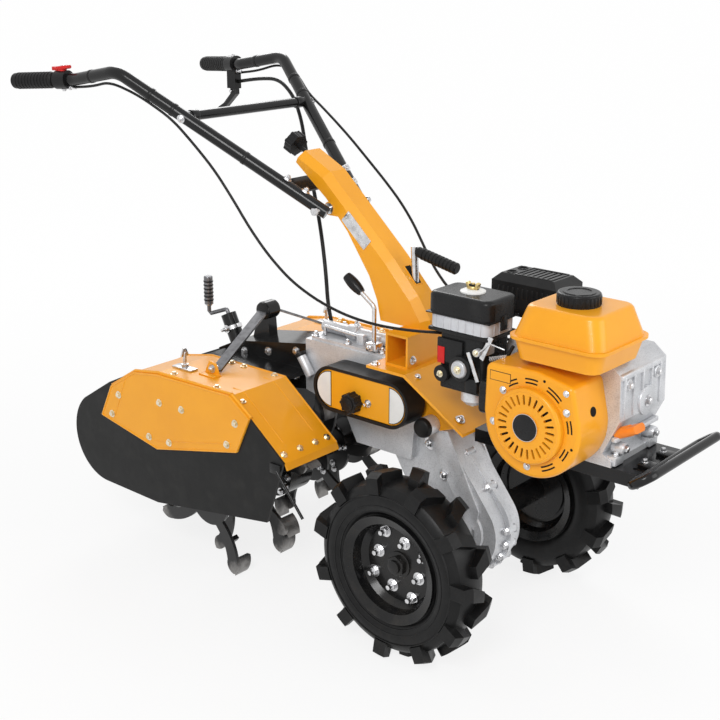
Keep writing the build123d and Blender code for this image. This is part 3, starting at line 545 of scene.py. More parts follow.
class Form:
    """The mesh of one piece, grown by bmesh operators in the row frame."""

    # Edges that turn by more than this are bevelled.
    SHARP = math.radians(40)

    # A hexagon head's measures, as shares of its width across the corners.
    WASHER_HEIGHT = 0.12
    WASHER_RADIUS = 0.72
    HEAD_HEIGHT = 0.34
    CHAMFER_HEIGHT = 0.08
    CHAMFER_FOOT = 0.47
    CHAMFER_TIP = 0.36
    STUD_RADIUS = 0.28
    STUD_EDGE = 0.04

    def __init__(self) -> None:
        """Starts with nothing."""
        self.mesh = bmesh.new()

    def soften(self, verts: Iterable[bmesh.types.BMVert], width: float) -> None:
        """Bevels the sharp edges among some vertices.

        Args:
            verts: The vertices of the shape just made.
            width: Width of the bevel, or 0 for none.
        """
        if width <= 0:
            return
        chosen = set(verts)
        edges = {e for v in chosen for e in v.link_edges if e.other_vert(v) in chosen}
        joined = [e for e in edges if len(e.link_faces) == 2]
        sharp = [e for e in joined if e.calc_face_angle() > self.SHARP]
        bmesh.ops.bevel(
            self.mesh,
            geom=sharp,
            offset=width,
            offset_type="OFFSET",
            segments=2,
            profile=0.5,
            affect="EDGES",
            material=-1,
            clamp_overlap=True,
        )

    @staticmethod
    def aim(base: Vector, axis: Vector) -> Matrix:
        """A place at base whose Z runs along axis."""
        return Matrix.Translation(base) @ axis.to_track_quat("Z", "Y").to_matrix().to_4x4()

    def drum(
        self,
        base: Vector,
        axis: Vector,
        length: float,
        radius: float,
        tip: float | None = None,
        sides: int = 28,
        edge: float = 0.0,
    ) -> None:
        """Adds a drum, a cone or a prism.

        Args:
            base: Middle of its foot.
            axis: Direction that it stands in.
            length: Its height.
            radius: Radius at the foot.
            tip: Radius at the top, the foot's if left out.
            sides: Number of sides.
            edge: Width of its bevel.
        """
        place = self.aim(base, axis) @ Matrix.Translation((0, 0, length / 2))
        top = radius if tip is None else tip
        made = bmesh.ops.create_cone(
            self.mesh,
            cap_ends=True,
            segments=sides,
            radius1=radius,
            radius2=top,
            depth=length,
            matrix=place,
        )
        self.soften(made["verts"], edge)

    def block(
        self, centre: Vector, size: Triple, turn: Matrix | None = None, edge: float = 0.0006
    ) -> None:
        """Adds a block.

        Args:
            centre: Its middle.
            size: Its lengths along its own axes.
            turn: Its turn, none if left out.
            edge: Width of its bevel.
        """
        scale = Matrix.Diagonal((*size, 1.0))
        place = Matrix.Translation(centre) @ (turn or Matrix.Identity(4)) @ scale
        made = bmesh.ops.create_cube(self.mesh, size=1.0, matrix=place)
        self.soften(made["verts"], edge)

    def lathe(self, base: Vector, axis: Vector, profile: Profile, steps: int = 64) -> None:
        """Spins an open profile into a solid or a ring.

        Args:
            base: The point on the axis that heights count from.
            axis: The axis.
            profile: Radius and height of each point; a ring's profile ends where it starts.
            steps: Steps round the axis.
        """
        place = self.aim(base, axis)
        verts = [self.mesh.verts.new(place @ Vector((r, 0, h))) for r, h in profile]
        edges = [self.mesh.edges.new(pair) for pair in zip(verts, verts[1:])]
        if len(verts) > 2 and profile[0] == profile[-1]:
            bmesh.ops.weld_verts(self.mesh, targetmap={verts[-1]: verts[0]})
            verts = verts[:-1]
            edges = [e for e in edges if e.is_valid]
        bmesh.ops.spin(
            self.mesh,
            geom=verts + edges,
            cent=base,
            axis=axis.normalized(),
            dvec=(0, 0, 0),
            angle=math.tau,
            steps=steps,
            use_merge=True,
        )

    def plate(self, outline: Sequence[Vector], push: Vector, edge: float = 0.0) -> None:
        """Adds a plate.

        Args:
            outline: Its corners in order.
            push: Its thickness, as the way that the outline is pushed.
            edge: Width of its bevel.
        """
        face = self.mesh.faces.new([self.mesh.verts.new(point) for point in outline])
        pushed = bmesh.ops.extrude_face_region(self.mesh, geom=[face], use_keep_orig=True)
        top = [v for v in pushed["geom"] if isinstance(v, bmesh.types.BMVert)]
        bmesh.ops.translate(self.mesh, verts=top, vec=push)
        self.soften(list(face.verts) + top, edge)

    def tube(self, points: Sequence[Vector], radius: float, sides: int = 12) -> None:
        """Adds a rod that follows points.

        Args:
            points: Its middle line.
            radius: Its radius.
            sides: Sides of its section.
        """
        before: list[bmesh.types.BMEdge] = []
        for index, point in enumerate(points):
            ahead = points[min(index + 1, len(points) - 1)]
            behind = points[max(index - 1, 0)]
            place = self.aim(point, ahead - behind)
            made = bmesh.ops.create_circle(self.mesh, segments=sides, radius=radius, matrix=place)
            ring = sorted({e for v in made["verts"] for e in v.link_edges}, key=lambda e: e.index)
            if before:
                bmesh.ops.bridge_loops(self.mesh, edges=before + ring)
            if index in (0, len(points) - 1):
                bmesh.ops.edgeloop_fill(self.mesh, edges=ring)
            before = ring

    def rods(self, points: Sequence[Vector], radius: float, sides: int = 8) -> None:
        """Adds a straight rod between each two points in turn."""
        for pair in zip(points, points[1:]):
            self.tube(pair, radius, sides)

    def bolt(self, seat: Vector, axis: Vector, width: float, stud: float = 0.0) -> None:
        """Adds a hexagon head on its washer, with a stud's end above it where one shows.

        Args:
            seat: The point that it is screwed down on.
            axis: Direction that it faces.
            width: Its width across the corners.
            stud: Length of the stud that stands out of it.
        """
        up = axis.normalized()
        lift = width * self.WASHER_HEIGHT
        self.drum(seat, up, lift, width * self.WASHER_RADIUS, sides=20)
        head = width * self.HEAD_HEIGHT
        self.drum(seat + up * lift, up, head, width / 2, sides=6)
        top = seat + up * (lift + head)
        foot, tip = width * self.CHAMFER_FOOT, width * self.CHAMFER_TIP
        self.drum(top, up, width * self.CHAMFER_HEIGHT, foot, tip, sides=6)
        if stud:
            radius, edge = width * self.STUD_RADIUS, width * self.STUD_EDGE
            self.drum(top, up, stud, radius, sides=12, edge=edge)

    def piece(
        self,
        name: str,
        finish: bpy.types.Material,
        slot: Slot,
        body: Body,
        smooth_below: float = 38.0,
    ) -> bpy.types.Object:
        """Makes the object, dresses it and lets it ride.

        Args:
            name: The piece's name.
            finish: Its material.
            slot: The record's slot that it belongs to; it is not used.
            body: The body that it rides on.
            smooth_below: Edges flatter than this, in degrees, are shaded smooth.

        Returns:
            The object.
        """
        bmesh.ops.recalc_face_normals(self.mesh, faces=self.mesh.faces)
        data = bpy.data.meshes.new(name)
        self.mesh.to_mesh(data)
        self.mesh.free()
        data.shade_smooth()
        data.set_sharp_from_angle(angle=math.radians(smooth_below))
        data.materials.append(finish)
        made = bpy.data.objects.new(name, data)
        bpy.context.scene.collection.objects.link(made)
        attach(made, body.value)
        LOG.info("%s: %d faces on %s", name, len(data.polygons), body.value)
        return made


@dataclass(frozen=True)
class Frame:
    """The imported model, and how points from the axle lie in it."""

    nodes: dict[str, bpy.types.Object]
    slots: dict[str, str]
    axle: float
    radius: float

    @classmethod
    def read(cls) -> Frame:
        """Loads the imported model."""
        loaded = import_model()
        slots = {part["node"]: part["material_slot"] for part in loaded["record"]["subparts"]}
        joints = loaded["joints"]
        axle = next(joint["pos_m"] for joint in joints if joint["name"] == "right_wheel_spin")
        return cls(loaded["nodes"], slots, axle[0], axle[2])

    def at(self, x: float, y: float, z: float) -> Vector:
        """A point in millimetres from the axle, as metres in the row frame."""
        return Vector((self.axle + x * MM, y * MM, z * MM))

    def centre(self, node: str) -> Vector:
        """The middle of a node's box."""
        low, high = (Vector(corner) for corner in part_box(node))
        return (low + high) / 2


BOTH = (-1, 1)
UP = Vector((0, 0, 1))
AHEAD = Vector((1, 0, 0))
LEFT = Vector((0, 1, 0))


def collar(inner: float, outer: float, height: float, slope: float) -> Profile:
    """The closed profile of a ring with sloped shoulders.

    Args:
        inner: Radius of its foot.
        outer: Radius of its crown.
        height: Its height.
        slope: Height that each shoulder takes.

    Returns:
        Radius and height of each point.
    """
    crown = [(outer, slope), (outer, height - slope)]
    return [(inner, 0.0), *crown, (inner, height), (inner, 0.0)]


def outward(side: Side) -> Vector:
    """The direction that faces away from the machine on a side."""
    return LEFT * side.value


@dataclass
class Dressing:
    """Gives every CAD node its finish."""

    frame: Frame
    finishes: Finishes
    by_slot: dict[str, str] = field(
        default_factory=lambda: {
            Slot.YELLOW.value: "yellow",
            Slot.BLACK.value: "black",
            Slot.PLASTIC.value: "plastic",
            Slot.RUBBER.value: "rubber",
            Slot.TYRE.value: "tyre",
            Slot.CASTING.value: "casting",
            Slot.GREY.value: "grey",
            Slot.PLATED.value: "zinc",
            Slot.RED.value: "red",
            Slot.ORANGE.value: "orange",
        }
    )
    by_node: dict[str, str] = field(
        default_factory=lambda: {
            "rotor": "blade",
            "muffler": "heat_black",
            "right_strap": "dark_steel",
            "left_strap": "dark_steel",
            "depth_crank": "dark_steel",
        }
    )

    def build(self) -> None:
        """Assigns a finish to each node's material slots."""
        for name, node in self.frame.nodes.items():
            finish = self.finishes[self.by_node.get(name, self.by_slot[self.frame.slots[name]])]
            if not node.data.materials:
                node.data.materials.append(finish)
            for index in range(len(node.material_slots)):
                node.material_slots[index].material = finish
            LOG.info("%s is dressed in %s", name, finish.name)


@dataclass
class Dresser:
    """What dresses one part of the machine with pieces of its own."""

    frame: Frame
    finishes: Finishes

    def add(
        self, form: Form, name: str, finish: str, slot: Slot, body: Body = Body.TRACTOR
    ) -> None:
        """Turns a form into a piece.

        Args:
            form: Its mesh.
            name: Its name.
            finish: Short name of its finish.
            slot: The record's slot that it belongs to.
            body: The body that it rides on.
        """
        form.piece(name, self.finishes[finish], slot, body)


@dataclass
class Wheel(Dresser):
    """Bolts, hub nut, valve and moulded rings of one wheel."""

    side: Side
    track_half: float = 254.0
    disc_half: float = 4.0
    outer_ring: float = 74.0
    inner_ring: float = 54.0
    outer_start: float = 119.0
    inner_start: float = 74.0
    bolts_each: int = 4
    bolt_width: float = 19.0
    rib_radii: tuple[float, ...] = (127.0, 139.0, 160.0)
    wall_middle: float = 150.0
    wall_half: float = 47.5
    wall_fall: float = 0.00995

    @property
    def body(self) -> Body:
        """The body that this wheel is."""
        return Body.RIGHT_WHEEL if self.side is Side.RIGHT else Body.LEFT_WHEEL

    def spot(self, radius: float, angle: float, out: float) -> Vector:
        """A point of the wheel.

        Args:
            radius: Distance from the axle, in millimetres.
            angle: Degrees from ahead, towards the top.
            out: Distance from the centre plane of the machine, in millimetres.

        Returns:
            The point in the row frame.
        """
        turn = math.radians(angle)
        height = self.frame.radius / MM + radius * math.sin(turn)
        return self.frame.at(radius * math.cos(turn), self.side.value * out, height)

    def build(self) -> None:
        """Makes the wheel's pieces."""
        word = self.side.word
        out = outward(self.side)
        face = self.track_half + self.disc_half
        fasteners = Form()
        circles = ((self.outer_ring, self.outer_start), (self.inner_ring, self.inner_start))
        for radius, start in circles:
            for k in range(self.bolts_each):
                seat = self.spot(radius, start + k * 360.0 / self.bolts_each, face)
                fasteners.bolt(seat, out, self.bolt_width * MM, stud=0.011)
        self.add(fasteners, f"{word}_wheel_bolts", "zinc", Slot.PLATED, self.body)

        nut = Form()
        hub = self.spot(0, 0, face + 0.2)
        nut.drum(hub, out, 0.003, 0.028, edge=0.0008)
        nut.drum(hub + out * 0.003, out, 0.012, 0.0225, sides=6, edge=0.001)
        nut.drum(hub + out * 0.013, out, 0.009, 0.0145, edge=0.0015)
        self.add(nut, f"{word}_hub_nut", "black", Slot.BLACK, self.body)

        valve = Form()
        foot = self.spot(88.0, 205.0, face + 1.0)
        lean = (out + (foot - self.spot(0, 0, face + 1.0)).normalized() * -0.5).normalized()
        valve.drum(foot - lean * 0.004, lean, 0.012, 0.0055, 0.004)
        valve.drum(foot + lean * 0.008, lean, 0.014, 0.0034, edge=0.0005)
        self.add(valve, f"{word}_valve", "rubber", Slot.RUBBER, self.body)

        ribs = Form()
        for radius in self.rib_radii:
            wall = self.wall_half - self.wall_fall * (radius - self.wall_middle) ** 2
            base = self.spot(0, 0, self.track_half)
            low = (wall - 1.0) * MM
            top = (wall + 1.4) * MM
            width = 1.9 * MM
            r = radius * MM
            crown = [(r - width / 2, top), (r + width / 2, top)]
            profile = [(r - width, low), *crown, (r + width, low), (r - width, low)]
            ribs.lathe(base, out, profile, 96)
        self.add(ribs, f"{word}_tyre_rings", "tyre", Slot.TYRE, self.body)


@dataclass
class Engine(Dresser):
    """The engine's cooling slots drawn as painted shade, and its screws, air cleaner, carburettor,
    muffler and tank fittings.
    """

    crank_x: float = 254.0
    crank_z: float = 553.0
    shroud_front: float = 190.0
    recoil_depth: float = 16.0
    emblem_radius: float = 27.0
    filter_x: float = 50.0
    filter_y: float = -100.0
    filter_base: float = 685.0
    filter_lid: float = 712.0
    filter_top: float = 757.0
    ring_length: float = 144.0
    ring_width: float = 96.0
    muffler_x: float = 98.0
    muffler_y: float = 55.0
    muffler_half: float = 50.0
    muffler_top: float = 772.4
    muffler_slots: float = 738.0
    carburettor_face: float = -140.0
    boss_spots: tuple[tuple[float, float], ...] = (
        (-62.0, 628.0),
        (48.0, 628.0),
        (-60.0, 500.0),
        (56.0, 500.0),
    )
    foot_half: float = 66.0
    cap_ribs: int = 28
    slot_spans: tuple[tuple[float, float], ...] = (
        (44.0, 67.0),
        (82.0, 100.0),
        (2.0, 19.0),
        (-36.0, -20.0),
        (-70.0, -50.0),
        (112.0, 128.0),
    )
    slot_radii: tuple[float, ...] = (82.5, 90.0)
    slot_width: float = 3.0

    def crank(self, radius: float, angle: float, y: float) -> Vector:
        """A point round the crankshaft.

        Args:
            radius: Distance from the shaft, in millimetres.
            angle: Degrees from ahead, towards the top.
            y: Distance from the centre plane, in millimetres.

        Returns:
            The point in the row frame.
        """
        turn = math.radians(angle)
        ahead, up = radius * math.cos(turn), radius * math.sin(turn)
        return self.frame.at(self.crank_x + ahead, y, self.crank_z + up)

    def annulus(self, form: Form, inner: float, outer: float, y: float) -> None:
        """Adds a flat ring round the crankshaft, 0.4 mm thick."""
        low, high, thick = inner * MM, outer * MM, 0.0004
        profile = [(low, 0.0), (high, 0.0), (high, thick), (low, thick), (low, 0.0)]
        form.lathe(self.crank(0, 0, y), -LEFT, profile, 72)

    def arc_slot_shade(self, form: Form, radius: float, low: float, high: float) -> None:
        """Adds one dark arc of painted shade, standing for a slot in the fan housing's face.

        Args:
            form: The piece that it joins.
            radius: Radius of its middle line, in millimetres.
            low: Angle that it starts at.
            high: Angle that it ends at.
        """
        y = -self.shroud_front + 0.1
        half = self.slot_width / 2
        steps = 8
        angles = [low + (high - low) * k / steps for k in range(steps + 1)]
        outline = [self.crank(radius + half, a, y) for a in angles]
        outline += [self.crank(radius - half, a, y) for a in reversed(angles)]
        form.plate(outline, LEFT * -0.0005)

    def build_starter(self) -> None:
        """Makes what shows of the recoil starter and the fan housing."""
        at = self.frame.at
        # Painted shade: thin dark sheets stand for the shade inside the cooling slots, the holes and
        # the recess round the starter.
        slot_shade = Form()
        self.annulus(slot_shade, 44.0, 63.0, -(self.shroud_front + self.recoil_depth - 5.9))
        for low, high in self.slot_spans:
            for radius in self.slot_radii:
                self.arc_slot_shade(slot_shade, radius, low, high)
        for radius, angle in ((96.0, 74.0), (95.0, -16.0)):
            hole = self.crank(radius, angle, -self.shroud_front + 0.1)
            slot_shade.drum(hole, -LEFT, 0.0005, 0.0028, sides=20)
        flat = Vector((math.cos(math.radians(13.0)), 0.0, math.sin(math.radians(13.0))))
        spot = self.crank(0, 0, -136.0) + flat * 0.1058 + Vector((-flat.z, 0.0, flat.x)) * 0.0126
        slot_shade.drum(spot, flat, 0.0009, 0.0095)
        self.add(slot_shade, "cooling_slot_depths", "shadow", Slot.BLACK)

        emblem = Form()
        face = -(self.shroud_front + self.recoil_depth + 2.0)
        r = self.emblem_radius * MM
        dome = [(0.0, 0.0), (r - 0.001, 0.0), (r - 0.001, 0.0008), (0.0, 0.0016)]
        emblem.lathe(self.crank(0, 0, face), -LEFT, dome)
        self.add(emblem, "starter_disc", "plastic", Slot.PLASTIC)
        bezel = Form()
        ring = [(r - 0.0012, 0.0), (r - 0.0008, 0.0015), (r, 0.0015), (r + 0.0004, 0.0)]
        bezel.lathe(self.crank(0, 0, face), -LEFT, [*ring, ring[0]])
        self.add(bezel, "starter_disc_rim", "zinc", Slot.PLATED)

        rims = Form()
        for radius in (69.0, 77.0):
            lift = self.shroud_front + (self.recoil_depth if radius < 70.0 else 0.0)
            width, foot, top = 0.0016, -0.0004, 0.0011
            a = radius * MM
            ring = [(a - width, foot), (a - width / 2, top), (a + width / 2, top), (a + width, foot)]
            rims.lathe(self.crank(0, 0, -lift + 0.2), -LEFT, [*ring, ring[0]])
        self.add(rims, "fan_housing_beads", "yellow", Slot.YELLOW)

        screws = Form()
        for radius, angle in ((88.0, 29.0), (84.0, 139.0), (84.0, -92.0), (84.0, 188.0)):
            screws.bolt(self.crank(radius, angle, -self.shroud_front), -LEFT, 0.0105)
        screws.bolt(at(328.0, -self.shroud_front, 632.0), -LEFT, 0.009)
        self.add(screws, "fan_housing_screws", "zinc", Slot.PLATED)

        label = Form()
        label.block(at(183.0, -self.shroud_front - 0.1, 633.0), (0.047, 0.0006, 0.019), edge=0.0)
        self.add(label, "fan_housing_label_rim", "plastic", Slot.PLASTIC)
        inner = Form()
        inner.block(at(183.0, -self.shroud_front - 0.3, 633.0), (0.0445, 0.0008, 0.0165), edge=0.0)
        self.add(inner, "fan_housing_blank_label", "yellow", Slot.YELLOW)

        rope = Form()
        guide = self.frame.centre("recoil_handle")
        rope.tube([guide + AHEAD * 0.002, guide + AHEAD * 0.03], 0.0022)
        self.add(rope, "starter_rope", "white", Slot.GREY)

    def build_air_cleaner(self) -> None:
        """Makes the ribs of the ring, the tray under it, and the wing nut on the lid."""
        at = self.frame.at
        ribs = Form()
        middle = (self.filter_base + self.filter_lid) / 2
        height = (self.filter_lid - self.filter_base - 1.0) * MM
        for k in range(7):
            x = self.filter_x - 54.0 + k * 18.0
            for sign in BOTH:
                y = self.filter_y + sign * (self.ring_width / 2 + 0.4)
                ribs.block(at(x, y, middle), (0.003, 0.0022, height))
        for k in range(4):
            y = self.filter_y - 27.0 + k * 18.0
            for sign in BOTH:
                x = self.filter_x + sign * (self.ring_length / 2 + 0.4)
                ribs.block(at(x, y, middle), (0.0022, 0.003, height))
        self.add(ribs, "air_cleaner_ribs", "grey", Slot.GREY)

        tray = Form()
        shelf = at(self.filter_x, self.filter_y + 1.0, self.filter_base - 5.0)
        tray.block(shelf, (0.148, 0.1, 0.009), edge=0.004)
        lid_seam = at(self.filter_x, self.filter_y, self.filter_lid + 2.0)
        tray.block(lid_seam, (0.155, 0.105, 0.0035), edge=0.0016)
        for sign in BOTH:
            clip = at(self.filter_x + sign * 76.0, self.filter_y, 708.0)
            tray.block(clip, (0.004, 0.02, 0.03), edge=0.001)
        self.add(tray, "air_cleaner_tray", "plastic", Slot.PLASTIC)

        washer = Form()
        top = at(self.filter_x, self.filter_y, self.filter_top - 0.2)
        dish = [(0.0, 0.0), (0.026, 0.0), (0.0255, 0.0025), (0.019, 0.0055), (0.0, 0.0058)]
        washer.lathe(top, UP, dish)
        self.add(washer, "air_cleaner_washer", "white", Slot.GREY)
        wing = Form()
        seat = top + UP * 0.0056
        wing.drum(seat, UP, 0.006, 0.0085, 0.0072, edge=0.0008)
        wing.drum(seat + UP * 0.005, UP, 0.0075, 0.0034, sides=14)
        for sign in BOTH:
            tilt = Matrix.Rotation(sign * math.radians(20), 4, "Y")
            ear = seat + Vector((sign * 0.0105, 0, 0.0068))
            wing.block(ear, (0.0072, 0.0105, 0.0145), tilt, 0.0018)
        self.add(wing, "air_cleaner_wing_nut", "brass", Slot.PLATED)

    def build_carburettor(self) -> None:
        """Makes the carburettor's face: bowl, screws, levers, spring and fuel hose."""
        at = self.frame.at
        front = self.carburettor_face
        black = Form()
        black.block(at(30.0, front - 3.0, 640.0), (0.062, 0.008, 0.05), edge=0.003)
        black.drum(at(62.0, front, 612.0), -LEFT, 0.016, 0.026, edge=0.002)
        black.drum(at(14.0, front, 592.0), -LEFT, 0.014, 0.017, edge=0.002)
        black.block(at(86.0, front - 4.0, 580.0), (0.03, 0.012, 0.03), edge=0.003)
        self.add(black, "carburettor_cover", "plastic", Slot.PLASTIC)

        plate = Form()
        plate.block(at(10.5, front - 7.6, 630.0), (0.017, 0.0018, 0.034), edge=0.0004)
        self.add(plate, "blank_red_plate", "red", Slot.RED)

        bowl = Form()
        bowl.drum(at(62.0, front - 16.0, 612.0), -LEFT, 0.006, 0.019, 0.016, edge=0.0015)
        bowl.lathe(
            at(66.0, -112.0, 530.0),
            UP,
            [(0.0, 0.0), (0.015, 0.0), (0.024, 0.009), (0.024, 0.031), (0.0, 0.031)],
        )
        bowl.block(at(104.0, -124.0, 655.0), (0.02, 0.028, 0.02), edge=0.003)
        bowl.drum(at(98.0, -141.0, 652.0), -LEFT, 0.012, 0.008, sides=18, edge=0.001)
        self.add(bowl, "carburettor_bowl", "casting", Slot.CASTING)

        brass = Form()
        brass.bolt(at(62.0, front - 22.0, 612.0), -LEFT, 0.012, stud=0.003)
        brass.bolt(at(14.0, front - 14.0, 592.0), -LEFT, 0.01, stud=0.004)
        brass.bolt(at(66.0, -112.0, 530.2), -UP, 0.011)
        brass.bolt(at(98.0, -153.0, 652.0), -LEFT, 0.009)
        self.add(brass, "carburettor_screws", "yellow_zinc", Slot.PLATED)

        levers = Form()
        arm = Matrix.Rotation(math.radians(-24), 4, "Y")
        levers.block(at(92.0, -152.0, 622.0), (0.009, 0.003, 0.062), arm, 0.0012)
        levers.block(at(118.0, -146.0, 664.0), (0.011, 0.003, 0.054), arm.inverted(), 0.0012)
        link = ((98, -153, 648), (128, -148, 676), (156, -140, 668))
        levers.tube([at(*p) for p in link], 0.0016)
        coil = [
            at(
                126.0 + k * 0.62,
                -146.0 + 4.6 * math.sin(k * 0.9),
                644.0 + 4.6 * math.cos(k * 0.9) + k * 0.2,
            )
            for k in range(64)
        ]
        levers.tube(coil, 0.0008, 6)
        self.add(levers, "governor_levers", "zinc", Slot.PLATED)

        hose = Form()
        route = (
            (104, -128, 600),
            (118, -132, 590),
            (138, -134, 602),
            (150, -132, 630),
            (158, -128, 656),
            (166, -124, 674),
        )
        hose.tube(smooth([at(*p) for p in route]), 0.0036)
        self.add(hose, "fuel_hose", "rubber", Slot.RUBBER)

    def build_muffler(self) -> None:
        """Makes the muffler's embossed slots, its frame, bolts and outlet."""
        at = self.frame.at
        ribs = Form()
        for k in range(11):
            x = self.muffler_x - 58.0 + k * 11.5
            for sign in BOTH:
                y = self.muffler_y + sign * (self.muffler_half + 0.4)
                ribs.block(at(x, y, self.muffler_slots), (0.0042, 0.0022, 0.022), edge=0.001)
        for k in range(6):
            for x in (self.muffler_x - 77.4, self.muffler_x + 77.4):
                spot = at(x, self.muffler_y - 30.0 + k * 12.0, self.muffler_slots)
                ribs.block(spot, (0.0022, 0.0042, 0.022), edge=0.001)
        for sign in BOTH:
            x, y = self.muffler_x + 12.0, self.muffler_y
            ribs.block(at(x, y + sign * 33.0, self.muffler_top), (0.086, 0.0034, 0.0022))
            ribs.block(at(x + sign * 42.0, y, self.muffler_top), (0.0034, 0.066, 0.0022))
        for sign in BOTH:
            hole = at(self.muffler_x - 48.0, self.muffler_y + sign * 20.0, 771.8)
            lip = [(0.009, 0.0), (0.0095, 0.002), (0.0112, 0.002), (0.0122, 0.0), (0.009, 0.0)]
            ribs.lathe(hole, UP, lip, 32)
        seam = at(self.muffler_x, self.muffler_y, 704.0)
        ribs.block(seam, (0.157, 0.103, 0.0034), edge=0.0012)
        self.add(ribs, "muffler_guard_ribs", "heat_black", Slot.BLACK)

        bolts = Form()
        for x in (-56.0, 56.0):
            for sign in BOTH:
                seat = at(self.muffler_x + x, self.muffler_y + sign * self.muffler_half, 712.0)
                bolts.bolt(seat, LEFT * sign, 0.01)
        self.add(bolts, "muffler_bolts", "zinc", Slot.PLATED)
        pipe = Form()
        pipe.drum(at(60.0, 105.0, 716.0), LEFT, 0.022, 0.013, edge=0.001)
        pipe.drum(at(60.0, 120.0, 716.0), LEFT, 0.0076, 0.0108, sides=24)
        self.add(pipe, "muffler_outlet", "dark_steel", Slot.BLACK)

    def build_tank(self) -> None:
        """Makes the tank's seam screws, its filler neck and the grip of its cap."""
        low, high = (Vector(corner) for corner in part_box("tank_cap"))
        middle = (low + high) / 2
        radius = (high.x - low.x) / 2
        grip = Form()
        for k in range(self.cap_ribs):
            turn = Matrix.Rotation(k * math.tau / self.cap_ribs, 4, "Z")
            out = turn @ AHEAD
            spot = Vector((middle.x, middle.y, low.z + 0.0105)) + out * radius
            grip.block(spot, (0.0022, 0.0045, 0.0165), turn, 0.0008)
        grip.lathe(
            Vector((middle.x, middle.y, high.z - 0.0004)),
            UP,
            [(0.022, 0.0), (0.0225, 0.0018), (0.031, 0.0018), (0.032, 0.0), (0.022, 0.0)],
        )
        self.add(grip, "tank_cap_grip", "plastic", Slot.PLASTIC)
        neck = Form()
        neck.lathe(
            Vector((middle.x, middle.y, low.z - 0.004)),
            UP,
            [(0.038, 0.0), (0.0435, 0.0), (0.0435, 0.003), (0.0395, 0.0048), (0.038, 0.0)],
        )
        self.add(neck, "tank_neck", "yellow", Slot.YELLOW)

        tank_low, tank_high = (Vector(corner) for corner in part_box("fuel_tank"))
        screws = Form()
        for x in (tank_low.x + 0.03, (tank_low.x + tank_high.x) / 2, tank_high.x - 0.03):
            screws.bolt(Vector((x, tank_high.y - 0.012, 0.7178)), UP, 0.009)
        self.add(screws, "tank_screws", "zinc", Slot.PLATED)

    def build_block(self) -> None:
        """Makes the crankcase's ribs, bolts, plugs, coil lead and spark plug."""
        at = self.frame.at
        cast = Form()
        for y in (-74.0, -40.0, -6.0, 28.0, 62.0):
            cast.block(at(380.0, y, 604.0), (0.012, 0.005, 0.084), edge=0.0015)
        cast.block(at(378.0, -4.0, 646.0), (0.014, 0.166, 0.012), edge=0.003)
        cast.block(at(374.0, -4.0, 522.0), (0.012, 0.166, 0.01), edge=0.003)
        for y, z in self.boss_spots:
            cast.drum(at(360.0, y, z), AHEAD, 0.026, 0.012, edge=0.0015)
        cast.drum(at(374.0, 10.0, 580.0), AHEAD, 0.014, 0.03, edge=0.002)
        for y in (-self.foot_half, self.foot_half):
            cast.block(at(366.0, y, 477.0), (0.026, 0.034, 0.02), edge=0.003)
        self.add(cast, "crankcase_ribs", "casting", Slot.CASTING)

        bolts = Form()
        for y, z in self.boss_spots:
            bolts.bolt(at(386.0, y, z), AHEAD, 0.013)
        bolts.bolt(at(388.0, 10.0, 580.0), AHEAD, 0.016)
        for y in (-self.foot_half, self.foot_half):
            bolts.bolt(at(370.0, y, 487.0), UP, 0.015, stud=0.006)
            bolts.bolt(at(182.0, y * 1.1, 487.0 - 9.0), UP, 0.015)
        for k in range(6):
            bolts.bolt(self.crank(70.0, 30.0 + 60.0 * k, 94.0), LEFT, 0.011)
        bolts.bolt(at(self.crank_x, 118.0, self.crank_z), LEFT, 0.02, stud=0.004)
        self.add(bolts, "crankcase_bolts", "zinc", Slot.PLATED)

        lead = Form()
        route = (
            (96, 24, 668),
            (98, 34, 686),
            (118, 4, 684),
            (146, -30, 676),
            (160, -60, 664),
            (166, -92, 648),
        )
        lead.tube(smooth([at(*p) for p in route]), 0.0032)
        lead.drum(at(94.0, 16.0, 652.0), Vector((0.1, 0.5, 1.0)), 0.026, 0.009, 0.007, edge=0.001)
        self.add(lead, "spark_lead", "rubber", Slot.RUBBER)

    def build(self) -> None:
        """Makes all of the engine's pieces."""
        self.build_starter()
        self.build_air_cleaner()
        self.build_carburettor()
        self.build_muffler()
        self.build_tank()
        self.build_block()


def smooth(points: Sequence[Vector], steps: int = 6) -> list[Vector]:
    """Rounds a route by a cubic through its points.

    Args:
        points: The points that the line passes through.
        steps: Parts of each run.

    Returns:
        Points along the line.
    """
    line = [points[0]]
    ends = [points[0], *points, points[-1]]
    for a, b, c, d in zip(ends, ends[1:], ends[2:], ends[3:]):
        for k in range(1, steps + 1):
            t = k / steps
            line.append(
                0.5
                * (
                    2 * b
                    + (c - a) * t
                    + (2 * a - 5 * b + 4 * c - d) * t * t
                    + (3 * b - a - 3 * c + d) * t * t * t
                )
            )
    return line


